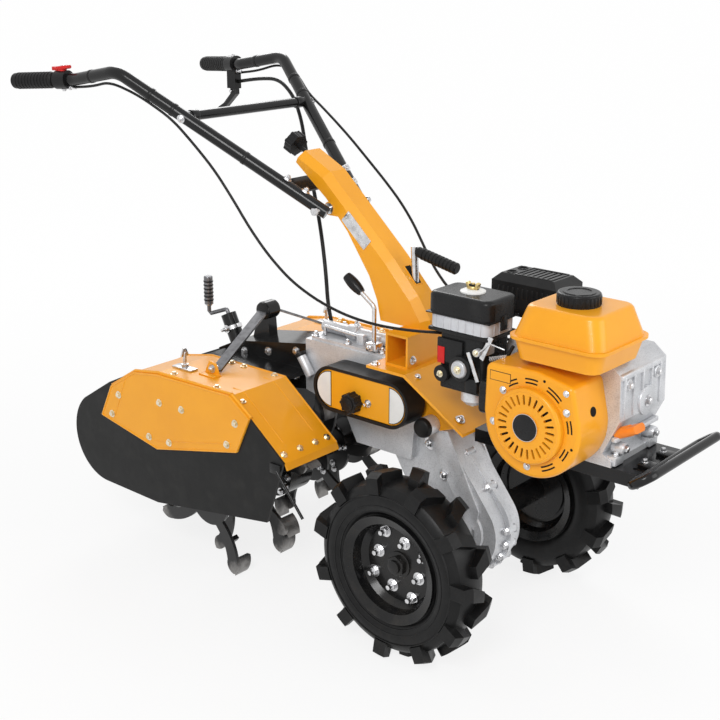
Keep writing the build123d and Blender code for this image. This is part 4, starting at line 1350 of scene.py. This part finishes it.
@dataclass
class Transmission(Dresser):
    """Bolts, plates and linkage of the gear case, its lid, the belt cover and the engine bed."""

    lid_top: float = 560.0
    boss_half: float = 13.0
    case_half: float = 45.0
    foot_radius: float = 95.0
    cover_face: float = 118.0
    cover_x: float = -228.0
    cover_z: float = 475.0
    label_radius: float = 39.0
    label_in: float = 84.0

    def build_case(self) -> None:
        """Makes the gear case's bolts, its raised web and its caps."""
        at = self.frame.at
        bolts = Form()
        foot = self.frame.radius / MM
        turns = [math.radians(a) for a in range(-112, 28, 20)]
        reach = self.foot_radius
        spots = [(reach * math.cos(t), foot + reach * math.sin(t)) for t in turns]
        for x, z in [*spots, (40.0, 303.0), (-20.0, 366.0), (-137.0, 246.0), (-185.0, 325.0)]:
            for sign in BOTH:
                bolts.bolt(at(x, sign * self.boss_half, z), LEFT * sign, 0.0145, stud=0.004)
        for x, z in ((-88.0, 384.0), (-46.0, 322.0), (-150.0, 420.0)):
            for sign in BOTH:
                bolts.bolt(at(x, sign * self.case_half, z), LEFT * sign, 0.021, stud=0.005)
        self.add(bolts, "gear_case_bolts", "zinc", Slot.PLATED)

        web = Form()
        for sign in BOTH:
            y = self.case_half * sign
            upper = ((-74.0, 420.0), (-40.0, 424.0), (48.0, 262.0))
            lower = ((38.0, 214.0), (10.0, 236.0), (-92.0, 396.0))
            web.plate([at(x, y, z) for x, z in upper + lower], LEFT * (sign * 0.006), 0.002)
            web.lathe(
                at(0, y, foot),
                LEFT * sign,
                [(0.036, 0.0), (0.058, 0.0), (0.056, 0.005), (0.04, 0.006), (0.036, 0.0)],
            )
        self.add(web, "gear_case_webs", "casting", Slot.CASTING)

        cap = Form()
        cap.drum(at(-79.0, -51.0, 432.0), -LEFT, 0.03, 0.021, edge=0.002)
        cap.drum(at(-443.0, -73.0, 513.0), Vector((30, 0, -43)), 0.052, 0.011, edge=0.001)
        self.add(cap, "gear_case_necks", "casting", Slot.CASTING)
        stopper = Form()
        stopper.drum(at(-79.0, -81.0, 432.0), -LEFT, 0.013, 0.023, 0.02, edge=0.003)
        stopper.drum(at(-447.0, -73.0, 519.0), Vector((30, 0, -43)), 0.009, 0.013, edge=0.0015)
        self.add(stopper, "gear_case_caps", "rubber", Slot.RUBBER)

    def build_lid(self) -> None:
        """Makes the lid's bolts and the shift linkage that lies on it."""
        at = self.frame.at
        steel = Form()
        for x in (-418.0, -322.0, -222.0):
            for sign in BOTH:
                steel.bolt(at(x, sign * 49.0, self.lid_top), UP, 0.014, stud=0.005)
        steel.tube([at(-404.0, -33.0, 582.0), at(-286.0, -33.0, 577.0)], 0.0042)
        steel.tube([at(-404.0, -33.0, 582.0), at(-404.0, -33.0, 562.0)], 0.0042)
        steel.block(at(-245.0, -50.0, 570.0), (0.03, 0.026, 0.02), edge=0.003)
        steel.bolt(at(-245.0, -63.0, 572.0), -LEFT, 0.013, stud=0.004)
        steel.bolt(at(-336.0, -2.0, 590.0), UP, 0.012, stud=0.01)
        self.add(steel, "lid_linkage", "zinc", Slot.PLATED)

        grey = Form()
        grey.drum(at(-428.0, -8.0, 574.0), AHEAD, 0.196, 0.0135, edge=0.002)
        grey.drum(at(-352.0, -8.0, 574.0), AHEAD, 0.03, 0.0175, edge=0.002)
        grey.block(at(-262.0, -8.0, 572.0), (0.022, 0.036, 0.024), edge=0.003)
        grey.block(at(-296.0, -33.0, 572.0), (0.02, 0.013, 0.024), edge=0.002)
        grey.block(at(-320.0, 30.0, 565.0), (0.16, 0.012, 0.01), edge=0.002)
        self.add(grey, "shift_rail", "casting", Slot.CASTING)

    def build_cover(self) -> None:
        """Makes the belt cover's blank half-moon plates, its stud and the bead round it."""
        for word, sign in (("rear", -1), ("front", 1)):
            layers = (("rim", 2.0, 0.0004, "plastic"), ("plate", 0.0, 0.0008, "white"))
            for name, grow, lift, finish in layers:
                form = Form()
                x = self.cover_x + sign * self.label_in
                middle = self.frame.at(x, -self.cover_face, self.cover_z)
                place = Form.aim(middle, -LEFT)
                radius = (self.label_radius + grow) * MM
                bmesh.ops.create_circle(
                    form.mesh, cap_ends=True, segments=64, radius=radius, matrix=place
                )
                everything = [*form.mesh.verts, *form.mesh.edges, *form.mesh.faces]
                cut = middle + AHEAD * (-sign * grow * MM)
                bmesh.ops.bisect_plane(
                    form.mesh,
                    geom=everything,
                    plane_co=cut,
                    plane_no=AHEAD * -sign,
                    clear_outer=True,
                )
                faces = list(form.mesh.faces)
                pushed = bmesh.ops.extrude_face_region(form.mesh, geom=faces, use_keep_orig=True)
                top = [v for v in pushed["geom"] if isinstance(v, bmesh.types.BMVert)]
                bmesh.ops.translate(form.mesh, verts=top, vec=-LEFT * lift)
                self.add(form, f"belt_cover_{word}_{name}", finish, Slot.GREY)
        stud = Form()
        stud.bolt(self.frame.at(-204.0, -self.cover_face, 466.0), -LEFT, 0.0125, stud=0.009)
        self.add(stud, "belt_cover_stud", "zinc", Slot.PLATED)
        knob = Form()
        face = self.frame.centre("belt_cover_knob")
        face.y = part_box("belt_cover_knob")[0][1]
        knob.lathe(face, -LEFT, [(0.0, 0.0), (0.016, 0.0), (0.0155, 0.0022), (0.0, 0.0034)])
        self.add(knob, "belt_cover_knob_cap", "plastic", Slot.PLASTIC)

    def build_bed(self) -> None:
        """Makes the bolts of the engine bed, the bracket, the frame and the bumper."""
        at = self.frame.at
        bolts = Form()
        slope = Vector((464.0 - 552.0, 0.0, -156.0)).normalized() * -1
        for y in (-104.0, 104.0):
            bolts.bolt(at(-84.0, y, 546.5), slope, 0.015, stud=0.004)
            bolts.bolt(at(30.0, y, 482.5), slope, 0.015, stud=0.004)
        for y in (-116.0, 116.0):
            bolts.bolt(at(-186.0, y, 558.0), UP, 0.014)
        bolts.bolt(at(-112.0, -84.0, 576.0), AHEAD, 0.013, stud=0.003)
        bolts.bolt(at(-112.0, 84.0, 576.0), AHEAD, 0.013, stud=0.003)
        for y in (-52.0, 52.0):
            bolts.bolt(at(416.0, y * 0.7, 466.0), UP, 0.016, stud=0.008)
            bolts.bolt(at(92.0, y, 466.0), UP, 0.016, stud=0.006)
        self.add(bolts, "engine_bed_bolts", "zinc", Slot.PLATED)

        clamps = Form()
        for y in (-36.4, 36.4):
            clamps.block(at(424.0, y, 470.0), (0.034, 0.028, 0.008), edge=0.002)
            clamps.drum(at(434.0, y - 12.0, 461.0), LEFT, 0.024, 0.0125, edge=0.001)
        self.add(clamps, "bumper_clamps", "black", Slot.BLACK)

    def build(self) -> None:
        """Makes all of the transmission's pieces."""
        self.build_case()
        self.build_lid()
        self.build_cover()
        self.build_bed()


@dataclass
class Mast(Dresser):
    """Plates, slot and bolts of the column that carries the handlebar; the slot is a dark sheet of
    painted shade.
    """

    half: float = 40.0
    pivot_x: float = -384.0
    pivot_z: float = 856.0

    def build(self) -> None:
        """Makes the column's pieces."""
        at = self.frame.at
        along = Vector((-181.0, 0.0, 165.0)).normalized()
        up = along.cross(LEFT) * -1
        tilt = Matrix((along, LEFT, up)).transposed().to_4x4()
        plate = Form()
        plate.block(at(-306.0, -self.half - 0.4, 818.0), (0.086, 0.0016, 0.03), tilt, 0.0004)
        self.add(plate, "column_blank_plate", "zinc", Slot.PLATED)
        rivets = Form()
        for a in (-38.0, 38.0):
            spot = at(-306.0, -self.half - 1.0, 818.0) + along * (a * MM)
            rivets.drum(spot, -LEFT, 0.0012, 0.0028, 0.0018)
        for sign in BOTH:
            seat = at(self.pivot_x, sign * self.half, self.pivot_z)
            rivets.drum(seat, LEFT * sign, 0.0025, 0.0125)
        self.add(rivets, "column_bolts", "zinc", Slot.PLATED)

        # Painted shade: the slot is a thin dark sheet that stands for the shade inside the opening,
        # with a yellow lip round it.
        slot = Form()
        face = at(-179.5, 0.0, 733.5)
        front = Vector((72.0, 0.0, 69.0)).normalized()
        down = Vector((69.0, 0.0, -72.0)).normalized()
        turn = Matrix((down, LEFT, front)).transposed().to_4x4()
        slot.block(face, (0.046, 0.018, 0.0012), turn, 0.0003)
        self.add(slot, "column_slot", "shadow", Slot.BLACK)
        lip = Form()
        for sign in BOTH:
            lip.block(face + LEFT * (sign * 0.0102), (0.051, 0.0024, 0.0024), turn, 0.0008)
            lip.block(face + down * (sign * 0.0242), (0.0024, 0.0205, 0.0024), turn, 0.0008)
        self.add(lip, "column_slot_lip", "yellow", Slot.YELLOW)

        grip = Form()
        handle = Vector((0.98, 0.0, -0.2)).normalized()
        for k in range(10):
            base = at(-168.0, 0.0, 786.0) + handle * (0.014 + k * 0.0095)
            grip.lathe(base, handle, collar(0.0105, 0.0128, 0.006, 0.0008), 28)
        self.add(grip, "shift_grip_rings", "rubber", Slot.RUBBER)

        star = Form()
        low, high = (Vector(corner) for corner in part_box("star_knob"))
        lean = Vector((-0.9, 0.0, 0.44)).normalized()
        head = Vector((low.x, 0.0, high.z)) + Vector((0.012, 0.0, -0.0215))
        dish = [(0.0, 0.0), (0.013, 0.0), (0.012, 0.0024), (0.0, 0.0034)]
        star.lathe(head - lean * 0.001, lean, dish)
        self.add(star, "star_knob_cap", "plastic", Slot.PLASTIC)


@dataclass
class Handlebar(Dresser):
    """Grip rings, clamps, clips, levers and pivots of the handlebar."""

    bar_radius: float = 14.0
    grip_radius: float = 18.0
    root: Triple = (-384.0, 64.0, 856.0)
    bend: Triple = (-812.0, 262.0, 1138.0)
    grip_start: Triple = (-960.0, 262.0, 1111.0)
    grip_end: Triple = (-1132.0, 300.0, 1099.0)
    crossbar: Triple = (-671.0, 194.0, 1045.0)
    grip_rings: int = 11

    def spot(self, point: Triple, side: Side) -> Vector:
        """A point of the handlebar on a side."""
        return self.frame.at(point[0], side.value * point[1], point[2])

    def build_side(self, side: Side) -> None:
        """Makes the pieces of one bar.

        Args:
            side: The bar's side.
        """
        word = side.word
        start, end = self.spot(self.grip_start, side), self.spot(self.grip_end, side)
        along = (end - start).normalized()
        first = start + along * 0.07
        rings = Form()
        span = (end - first).length - 0.012
        for k in range(self.grip_rings):
            base = first + along * (span * k / (self.grip_rings - 1) + 0.002)
            r = self.grip_radius * MM
            inner, outer = r - 0.002, r + 0.0012
            ring = [(inner, 0.0), (outer, 0.0012), (outer, 0.0042), (inner, 0.0056), (inner, 0.0)]
            rings.lathe(base, along, ring, 32)
        self.add(rings, f"{word}_grip_rings", "rubber", Slot.RUBBER, Body.HANDLEBAR)

        root, bend = self.spot(self.root, side), self.spot(self.bend, side)
        fall = (root - bend).normalized()
        length = (root - bend).length
        clips = Form()
        strap = (self.bar_radius + 1.0) * MM
        for share in (0.16, 0.27, 0.62):
            clips.drum(bend + fall * (length * share), fall, 0.009, strap, sides=32, edge=0.0008)
        level = (bend - start).normalized()
        clips.drum(start + level * 0.055, level, 0.009, strap, sides=32, edge=0.0008)
        self.add(clips, f"{word}_cable_clips", "plastic", Slot.PLASTIC, Body.HANDLEBAR)

        fittings = Form()
        out = outward(side)
        skin = self.bar_radius * MM - 0.0005
        across = (out - fall * out.dot(fall)).normalized()
        fittings.bolt(bend + fall * (length * 0.33) + across * skin, across, 0.013, stud=0.004)
        top = (UP - fall * UP.dot(fall)).normalized()
        for back in (0.052, 0.1):
            fittings.bolt(root - fall * back + top * skin, top, 0.014, stud=0.004)
        clamp = start + along * 0.036
        fittings.bolt(clamp + UP * (side.value * 0.0205), UP * side.value, 0.01)
        ferrule = start + along * 0.021 - UP * 0.0176
        fittings.drum(ferrule, -along, 0.02, 0.0048, edge=0.0006)
        fittings.drum(ferrule, -along, 0.006, 0.0065, sides=6)
        self.add(fittings, f"{word}_bar_fittings", "zinc", Slot.PLATED, Body.HANDLEBAR)

    def build_crossbar(self) -> None:
        """Makes the collars of the crossbar and the pivots of the levers."""
        collars = Form()
        for side in Side:
            base = self.spot((self.crossbar[0], self.crossbar[1] - 16.0, self.crossbar[2]), side)
            collars.drum(base, outward(side) * -1, 0.02, 0.0135, edge=0.001)
        self.add(collars, "crossbar_collars", "black", Slot.BLACK, Body.HANDLEBAR)

        pins = Form()
        low, high = (Vector(corner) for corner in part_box("clutch_lever"))
        pin = Vector(((low.x + high.x) / 2 + 0.022, low.y - 0.006, high.z - 0.007))
        span = high.y - low.y + 0.012
        pins.drum(pin, LEFT, span, 0.0038, edge=0.0006)
        pins.bolt(pin + LEFT * span, LEFT, 0.009)
        low, high = (Vector(corner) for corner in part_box("throttle_lever"))
        pins.bolt(Vector(((low.x + high.x) / 2 + 0.012, (low.y + high.y) / 2, high.z)), UP, 0.009)
        self.add(pins, "lever_pins", "zinc", Slot.PLATED, Body.HANDLEBAR)

        paddle = Form()
        middle = (low + high) / 2
        lift = Matrix.Rotation(math.radians(-9), 4, "Y") @ Matrix.Rotation(math.radians(12), 4, "Z")
        paddle.block(middle + Vector((0.016, 0.0, 0.0035)), (0.034, 0.019, 0.0085), lift, 0.003)
        self.add(paddle, "throttle_paddle", "red", Slot.RED, Body.HANDLEBAR)

    def build(self) -> None:
        """Makes all of the handlebar's pieces."""
        for side in Side:
            self.build_side(side)
        self.build_crossbar()


@dataclass
class Cable:
    """A control cable that hangs between the handlebar and the tractor."""

    frame: Frame
    finishes: Finishes
    node: str
    fixed: Triple
    carried: Triple

    def build(self) -> None:
        """Makes the cable from its node's own shape, as a rubber sleeve that takes the node's place.
        """
        data = self.frame.nodes[self.node].data.copy()
        data.name = f"{self.node}_sleeve"
        mesh = bmesh.new()
        mesh.from_mesh(data)
        bmesh.ops.remove_doubles(mesh, verts=mesh.verts, dist=1e-5)
        mesh.to_mesh(data)
        mesh.free()
        data.materials.clear()
        data.materials.append(self.finishes["rubber"])
        data.shade_smooth()
        sleeve = bpy.data.objects.new(f"{self.node}_sleeve", data)
        bpy.context.scene.collection.objects.link(sleeve)
        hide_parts(self.node)
        start = self.frame.at(*self.fixed)
        self.frame.at(*self.carried)
        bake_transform(sleeve)
        LOG.info("%s bends from %s", self.node, tuple(round(v, 3) for v in start))


@dataclass
class Tiller(Dresser):
    """Bolts, beads, clamp and brackets of the tiller's hoods, and the rotor's bolts."""

    panel_y: float = 304.0
    hood_z: float = 478.0
    panel: tuple[tuple[float, float], ...] = (
        (-848.0, 407.0),
        (-760.0, 461.0),
        (-678.0, 474.0),
        (-439.0, 478.0),
        (-380.0, 438.0),
        (-421.0, 351.0),
        (-689.0, 287.0),
        (-888.0, 326.0),
    )
    panel_bolts: tuple[tuple[float, float], ...] = (
        (-818.0, 392.0),
        (-846.0, 338.0),
        (-672.0, 407.0),
        (-597.0, 408.0),
        (-424.0, 418.0),
        (-714.0, 313.0),
        (-644.0, 316.0),
        (-452.0, 362.0),
    )
    fold_x: float = -439.0
    slope_z: float = 463.0
    clamp_x: float = -650.0
    clamp_y: float = 242.0
    pin_x: float = -571.0
    pin_z: float = 493.0
    case_half: float = 38.0
    case_ring: float = 50.0
    tine_bolt_radii: tuple[float, ...] = (38.0, 54.0)
    rotor_x: float = -575.0
    rotor_z: float = 175.5
    disc_rows: tuple[float, ...] = (92.0, 168.0, 244.0)

    def build_panels(self, side: Side) -> None:
        """Makes the bolts and the rolled edge of one side panel.

        Args:
            side: The panel's side.
        """
        at = self.frame.at
        word = side.word
        out = outward(side)
        y = side.value * self.panel_y
        bolts = Form()
        for x, z in self.panel_bolts:
            bolts.bolt(at(x, y, z), out, 0.0125)
        behind = ((-640.0, 284.0), (-500.0, 284.0), (-600.0, 142.0))
        before = ((-560.0, 142.0), (-462.0, 142.0), (-420.0, 284.0))
        for x, yy in behind + before:
            lift = self.hood_z if x < self.fold_x else self.slope_z
            bolts.bolt(at(x, side.value * yy, lift), UP, 0.0115)
        slope = Vector((118.0, 0.0, 154.0)).normalized()
        for yy in (146.0, 184.0, 232.0, 282.0):
            bolts.bolt(at(-300.0, side.value * yy, 371.6), slope, 0.0115)
        self.add(bolts, f"{word}_hood_bolts", "yellow_zinc", Slot.PLATED)

        bead = Form()
        loop = [at(x, y, z) for x, z in self.panel]
        middle = sum(loop, Vector()) / len(loop)
        inset = [p + (middle - p).normalized() * 0.003 for p in loop]
        bead.rods([*inset, inset[0]], 0.0022)
        for a, b in (((-790.0, 440.0), (-836.0, 336.0)), ((-700.0, 305.0), (-440.0, 367.0))):
            bead.tube([at(a[0], y, a[1]), at(b[0], y, b[1])], 0.0011, 8)
        fold = ((-857, 414), (-760, 461), (-678, 478), (-439, 478), (-285, 360))
        bead.rods([at(x, side.value * 131.0, z) for x, z in fold], 0.0024)
        rim = ((-848.0, 409.0), (-760.0, 463.0), (-678.0, 476.5), (-439.0, 480.0), (-381.0, 440.0))
        bead.rods([at(x, side.value * 297.0, z) for x, z in rim], 0.0042, 10)
        crease = ((-470, 478), (-436, 476), (-418, 462), (-322, 388))
        for yy in (168.0, 262.0):
            bead.tube([at(x, side.value * yy, z) for x, z in crease], 0.0018, 8)
        self.add(bead, f"{word}_hood_beads", "yellow", Slot.YELLOW)

        lug = Form()
        corners = [(-598.0, 478.0), (-548.0, 478.0), (-560.0, 506.0), (-582.0, 510.0)]
        lug.plate([at(x, side.value * 226.0, z) for x, z in corners], out * 0.004, 0.001)
        lug.block(at(-573.0, side.value * 236.0, 479.6), (0.05, 0.024, 0.003))
        self.add(lug, f"{word}_strap_lug", "yellow", Slot.YELLOW)
        pin = Form()
        pin.bolt(at(self.pin_x, side.value * 230.0, self.pin_z), out, 0.014, stud=0.003)
        pin.drum(at(self.pin_x, side.value * 214.0, self.pin_z), out, 0.014, 0.004)
        self.add(pin, f"{word}_strap_pin", "zinc", Slot.PLATED)

        clamp = Form()
        x, y = self.clamp_x, side.value * self.clamp_y
        clamp.block(at(x, y, 480.4), (0.062, 0.024, 0.005), edge=0.001)
        clamp.drum(at(x, y, 482.0), UP, 0.034, 0.0042)
        clamp.drum(at(x, y, 483.0), UP, 0.007, 0.009, sides=6)
        for turn in BOTH:
            spread = Matrix.Rotation(turn * math.radians(22), 4, "X")
            clamp.block(at(x, y + turn * 5.0, 518.0), (0.004, 0.007, 0.02), spread, 0.0012)
        self.add(clamp, f"{word}_hood_clamp", "zinc", Slot.PLATED)

    def build_guard_rod(self) -> None:
        """Makes the rods that steady the side guards, each with the plate at its upper end."""
        at = self.frame.at
        rod = Form()
        for side in Side:
            y = side.value
            ends = [at(-303.0, y * 303.0, 340.0), at(-226.0, y * 304.0, 252.0)]
            rod.tube(ends, 0.0034)
            rod.block(at(-306.0, y * 302.5, 344.0), (0.03, 0.005, 0.022), edge=0.001)
        self.add(rod, "guard_rods", "black", Slot.BLACK)

    def build_case(self) -> None:
        """Makes the bolts round the tiller's chain case."""
        at = self.frame.at
        bolts = Form()
        for k in range(7):
            turn = math.radians(-180.0 + k * 30.0)
            x = self.rotor_x + self.case_ring * math.cos(turn)
            z = self.rotor_z + self.case_ring * math.sin(turn)
            for sign in BOTH:
                bolts.bolt(at(x, sign * self.case_half, z), LEFT * sign, 0.013)
        for z in (250.0, 320.0):
            for x in (-616.0, -520.0):
                for sign in BOTH:
                    bolts.bolt(at(x, sign * self.case_half, z), LEFT * sign, 0.013)
        for x, z in ((-470.0, 515.0), (-470.0, 455.0), (-560.0, 496.0), (-640.0, 480.0)):
            for sign in BOTH:
                bolts.bolt(at(x, sign * 60.0, z), LEFT * sign, 0.014)
        self.add(bolts, "tiller_case_bolts", "zinc", Slot.PLATED)

    def build_rotor(self) -> None:
        """Makes the bolts that hold the tines on their discs."""
        bolts = Form()
        for sign in BOTH:
            for row, reach in enumerate(self.disc_rows):
                first = (22.5 if row % 2 else -22.5) - 90.0 - 4.5
                for k in range(4):
                    turn = math.radians(first + 90.0 * k)
                    for radius in self.tine_bolt_radii:
                        x = self.rotor_x + radius * math.cos(turn)
                        z = self.rotor_z + radius * math.sin(turn)
                        bolts.bolt(self.frame.at(x, sign * (reach - 0.1), z), LEFT * -sign, 0.012)
        self.add(bolts, "tine_bolts", "zinc", Slot.PLATED, Body.ROTOR)

    def build_depth(self) -> None:
        """Makes the clamp, ring and thread of the depth post and its crank."""
        at = self.frame.at
        steel = Form()
        lean = Vector((-0.5, 0.0, 1.0)).normalized()
        base = at(-738.0, 0.0, 500.0)
        steel.lathe(base, lean, collar(0.0188, 0.0225, 0.012, 0.0012))
        steel.bolt(base + lean * 0.006 - LEFT * 0.0215, -LEFT, 0.014, stud=0.012)
        steel.drum(at(-826.0, 0.0, 546.0), UP, 0.006, 0.0085, sides=24, edge=0.001)
        self.add(steel, "depth_post_clamp", "zinc", Slot.PLATED)
        grip = Form()
        for k in range(6):
            grip.lathe(at(-826.0, 0.0, 558.0 + k * 9.5), UP, collar(0.01, 0.0122, 0.005, 0.001), 28)
        self.add(grip, "depth_crank_grip", "plastic", Slot.PLASTIC)
        knob = Form()
        for side in Side:
            knob.lathe(
                at(-618.0, side.value * 16.0, 574.0),
                outward(side),
                [(0.0, 0.0), (0.0215, 0.0), (0.0205, 0.004), (0.009, 0.0065), (0.0, 0.0066)],
            )
        self.add(knob, "knob_post_caps", "plastic", Slot.PLASTIC)

    def build(self) -> None:
        """Makes all of the tiller's pieces."""
        for side in Side:
            self.build_panels(side)
        self.build_guard_rod()
        self.build_case()
        self.build_rotor()
        self.build_depth()


@dataclass
class Studio:
    """The floor, the light and the camera."""

    camera_at: Triple = (1.793188, -2.0975, 1.4137)
    look: Triple = (-0.618, 0.722, -0.3115)
    roll: float = -0.18
    lens: float = 63.97
    sensor: float = 36.0
    floor_size: float = 140.0
    sky_light: float = 0.55
    fade_from: float = 0.9
    fade_to: float = 3.2
    white_near: float = 0.83
    white_gain: float = 0.16
    lamps_aim: Triple = (0.0, 0.0, 0.5)
    lamps: tuple[tuple[str, Triple, float, float], ...] = (
        ("key", (1.6, -3.4, 3.2), 1.6, 96.0),
        ("fill", (3.6, 0.8, 1.8), 2.2, 38.0),
        ("back", (-2.6, 2.2, 2.8), 1.8, 50.0),
    )

    def build_camera(self) -> None:
        """Sets the camera where the photograph was taken from."""
        data = bpy.data.cameras.new("photo_camera")
        data.lens = self.lens
        data.sensor_width = self.sensor
        data.clip_end = 400.0
        camera = bpy.data.objects.new("photo_camera", data)
        turn = Vector(self.look).to_track_quat("-Z", "Y").to_matrix()
        turn = turn @ Matrix.Rotation(math.radians(-self.roll), 3, "Z")
        camera.matrix_world = Matrix.Translation(self.camera_at) @ turn.to_4x4()
        bpy.context.scene.collection.objects.link(camera)
        bpy.context.scene.camera = camera

    def lamp(self, name: str, spot: Triple, size: float, power: float) -> None:
        """Adds a square soft lamp.

        Args:
            name: Its name.
            spot: Where it hangs.
            size: Its side.
            power: Its power in watts.
        """
        data = bpy.data.lights.new(name, "AREA")
        data.shape = "SQUARE"
        data.size = size
        data.energy = power
        lamp = bpy.data.objects.new(name, data)
        turn = (Vector(self.lamps_aim) - Vector(spot)).to_track_quat("-Z", "Y").to_matrix().to_4x4()
        lamp.matrix_world = Matrix.Translation(spot) @ turn
        bpy.context.scene.collection.objects.link(lamp)

    def build_floor(self) -> None:
        """Lays the pale floor, which keeps a soft shadow."""
        mesh = bmesh.new()
        bmesh.ops.create_grid(mesh, x_segments=1, y_segments=1, size=self.floor_size / 2)
        data = bpy.data.meshes.new("studio_floor")
        mesh.to_mesh(data)
        mesh.free()
        graph = Graph("studio_floor")
        fleck = graph.noise(3.0, 2.0)
        cover = graph.blend(fleck, (0.86, 0.86, 0.86), (0.9, 0.9, 0.9))
        matt = graph.node("ShaderNodeBsdfDiffuse", None, {"Color": cover})
        values = {"Color": (1.0, 1.0, 1.0, 1.0), "Strength": 1.0}
        glow = graph.node("ShaderNodeEmission", None, values)
        rays = graph.node("ShaderNodeLightPath")
        seen = Signal(graph, rays.outputs["Is Camera Ray"])
        for ray in ("Is Glossy Ray", "Is Transmission Ray"):
            seen = seen + Signal(graph, rays.outputs[ray])
        away = {0: graph.place()}
        reach = graph.signal("ShaderNodeVectorMath", {"operation": "LENGTH"}, away, "Value")
        white = reach.step(self.fade_from, self.fade_to) * self.white_gain + self.white_near
        mixed = graph.node("ShaderNodeMixShader", None, {0: seen * white})
        graph.tree.links.new(matt.outputs[0], mixed.inputs[1])
        graph.tree.links.new(glow.outputs[0], mixed.inputs[2])
        graph.tree.links.new(mixed.outputs[0], graph.output.inputs["Surface"])
        data.materials.append(graph.material)
        floor = bpy.data.objects.new("studio_floor", data)
        bpy.context.scene.collection.objects.link(floor)

    def build_world(self) -> None:
        """Makes the surroundings: white where they are seen or mirrored, dimmer as light."""
        world = bpy.data.worlds.new("white_room")
        world.use_nodes = True
        tree = world.node_tree
        tree.nodes.clear()
        output = tree.nodes.new("ShaderNodeOutputWorld")
        sky = tree.nodes.new("ShaderNodeBackground")
        sky.inputs["Color"].default_value = (1.0, 1.0, 1.0, 1.0)
        sky.inputs["Strength"].default_value = self.sky_light
        backdrop = tree.nodes.new("ShaderNodeBackground")
        backdrop.inputs["Color"].default_value = (1.0, 1.0, 1.0, 1.0)
        rays = tree.nodes.new("ShaderNodeLightPath")
        mixed = tree.nodes.new("ShaderNodeMixShader")
        shown = rays.outputs["Is Camera Ray"]
        for ray in ("Is Transmission Ray", "Is Glossy Ray"):
            wider = tree.nodes.new("ShaderNodeMath")
            wider.operation = "MAXIMUM"
            tree.links.new(shown, wider.inputs[0])
            tree.links.new(rays.outputs[ray], wider.inputs[1])
            shown = wider.outputs[0]
        tree.links.new(shown, mixed.inputs[0])
        tree.links.new(sky.outputs[0], mixed.inputs[1])
        tree.links.new(backdrop.outputs[0], mixed.inputs[2])
        tree.links.new(mixed.outputs[0], output.inputs["Surface"])
        bpy.context.scene.world = world

    def build(self) -> None:
        """Makes the whole studio."""
        bpy.context.scene.view_settings.view_transform = "Standard"
        self.build_camera()
        self.build_floor()
        self.build_world()
        for name, spot, size, power in self.lamps:
            self.lamp(name, spot, size, power)


def main() -> None:
    """Builds the looks of the machine in order."""
    logging.basicConfig(level=logging.INFO, format="%(name)s %(message)s")
    frame = Frame.read()
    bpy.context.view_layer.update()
    rotor = frame.centre("rotor")
    low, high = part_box("rotor")
    finishes = Finishes((rotor.x, 0.0, rotor.z), (high[0] - low[0]) / 2)
    Studio().build()
    Dressing(frame, finishes).build()
    for side in Side:
        Wheel(frame, finishes, side).build()
    for dresser in (Engine, Transmission, Mast, Handlebar, Tiller):
        dresser(frame, finishes).build()
    cables = (
        ("throttle_cable", (-370.0, -179.0, 722.0), (-700.0, -211.0, 1041.0)),
        ("stop_cable", (-318.0, 124.0, 858.0), (-690.0, 226.0, 1060.0)),
        ("clutch_cable", (-450.0, 20.0, 660.0), (-740.0, 226.0, 1050.0)),
    )
    for node, fixed, carried in cables:
        Cable(frame, finishes, node, fixed, carried).build()


if __name__ == "__main__":
    main()
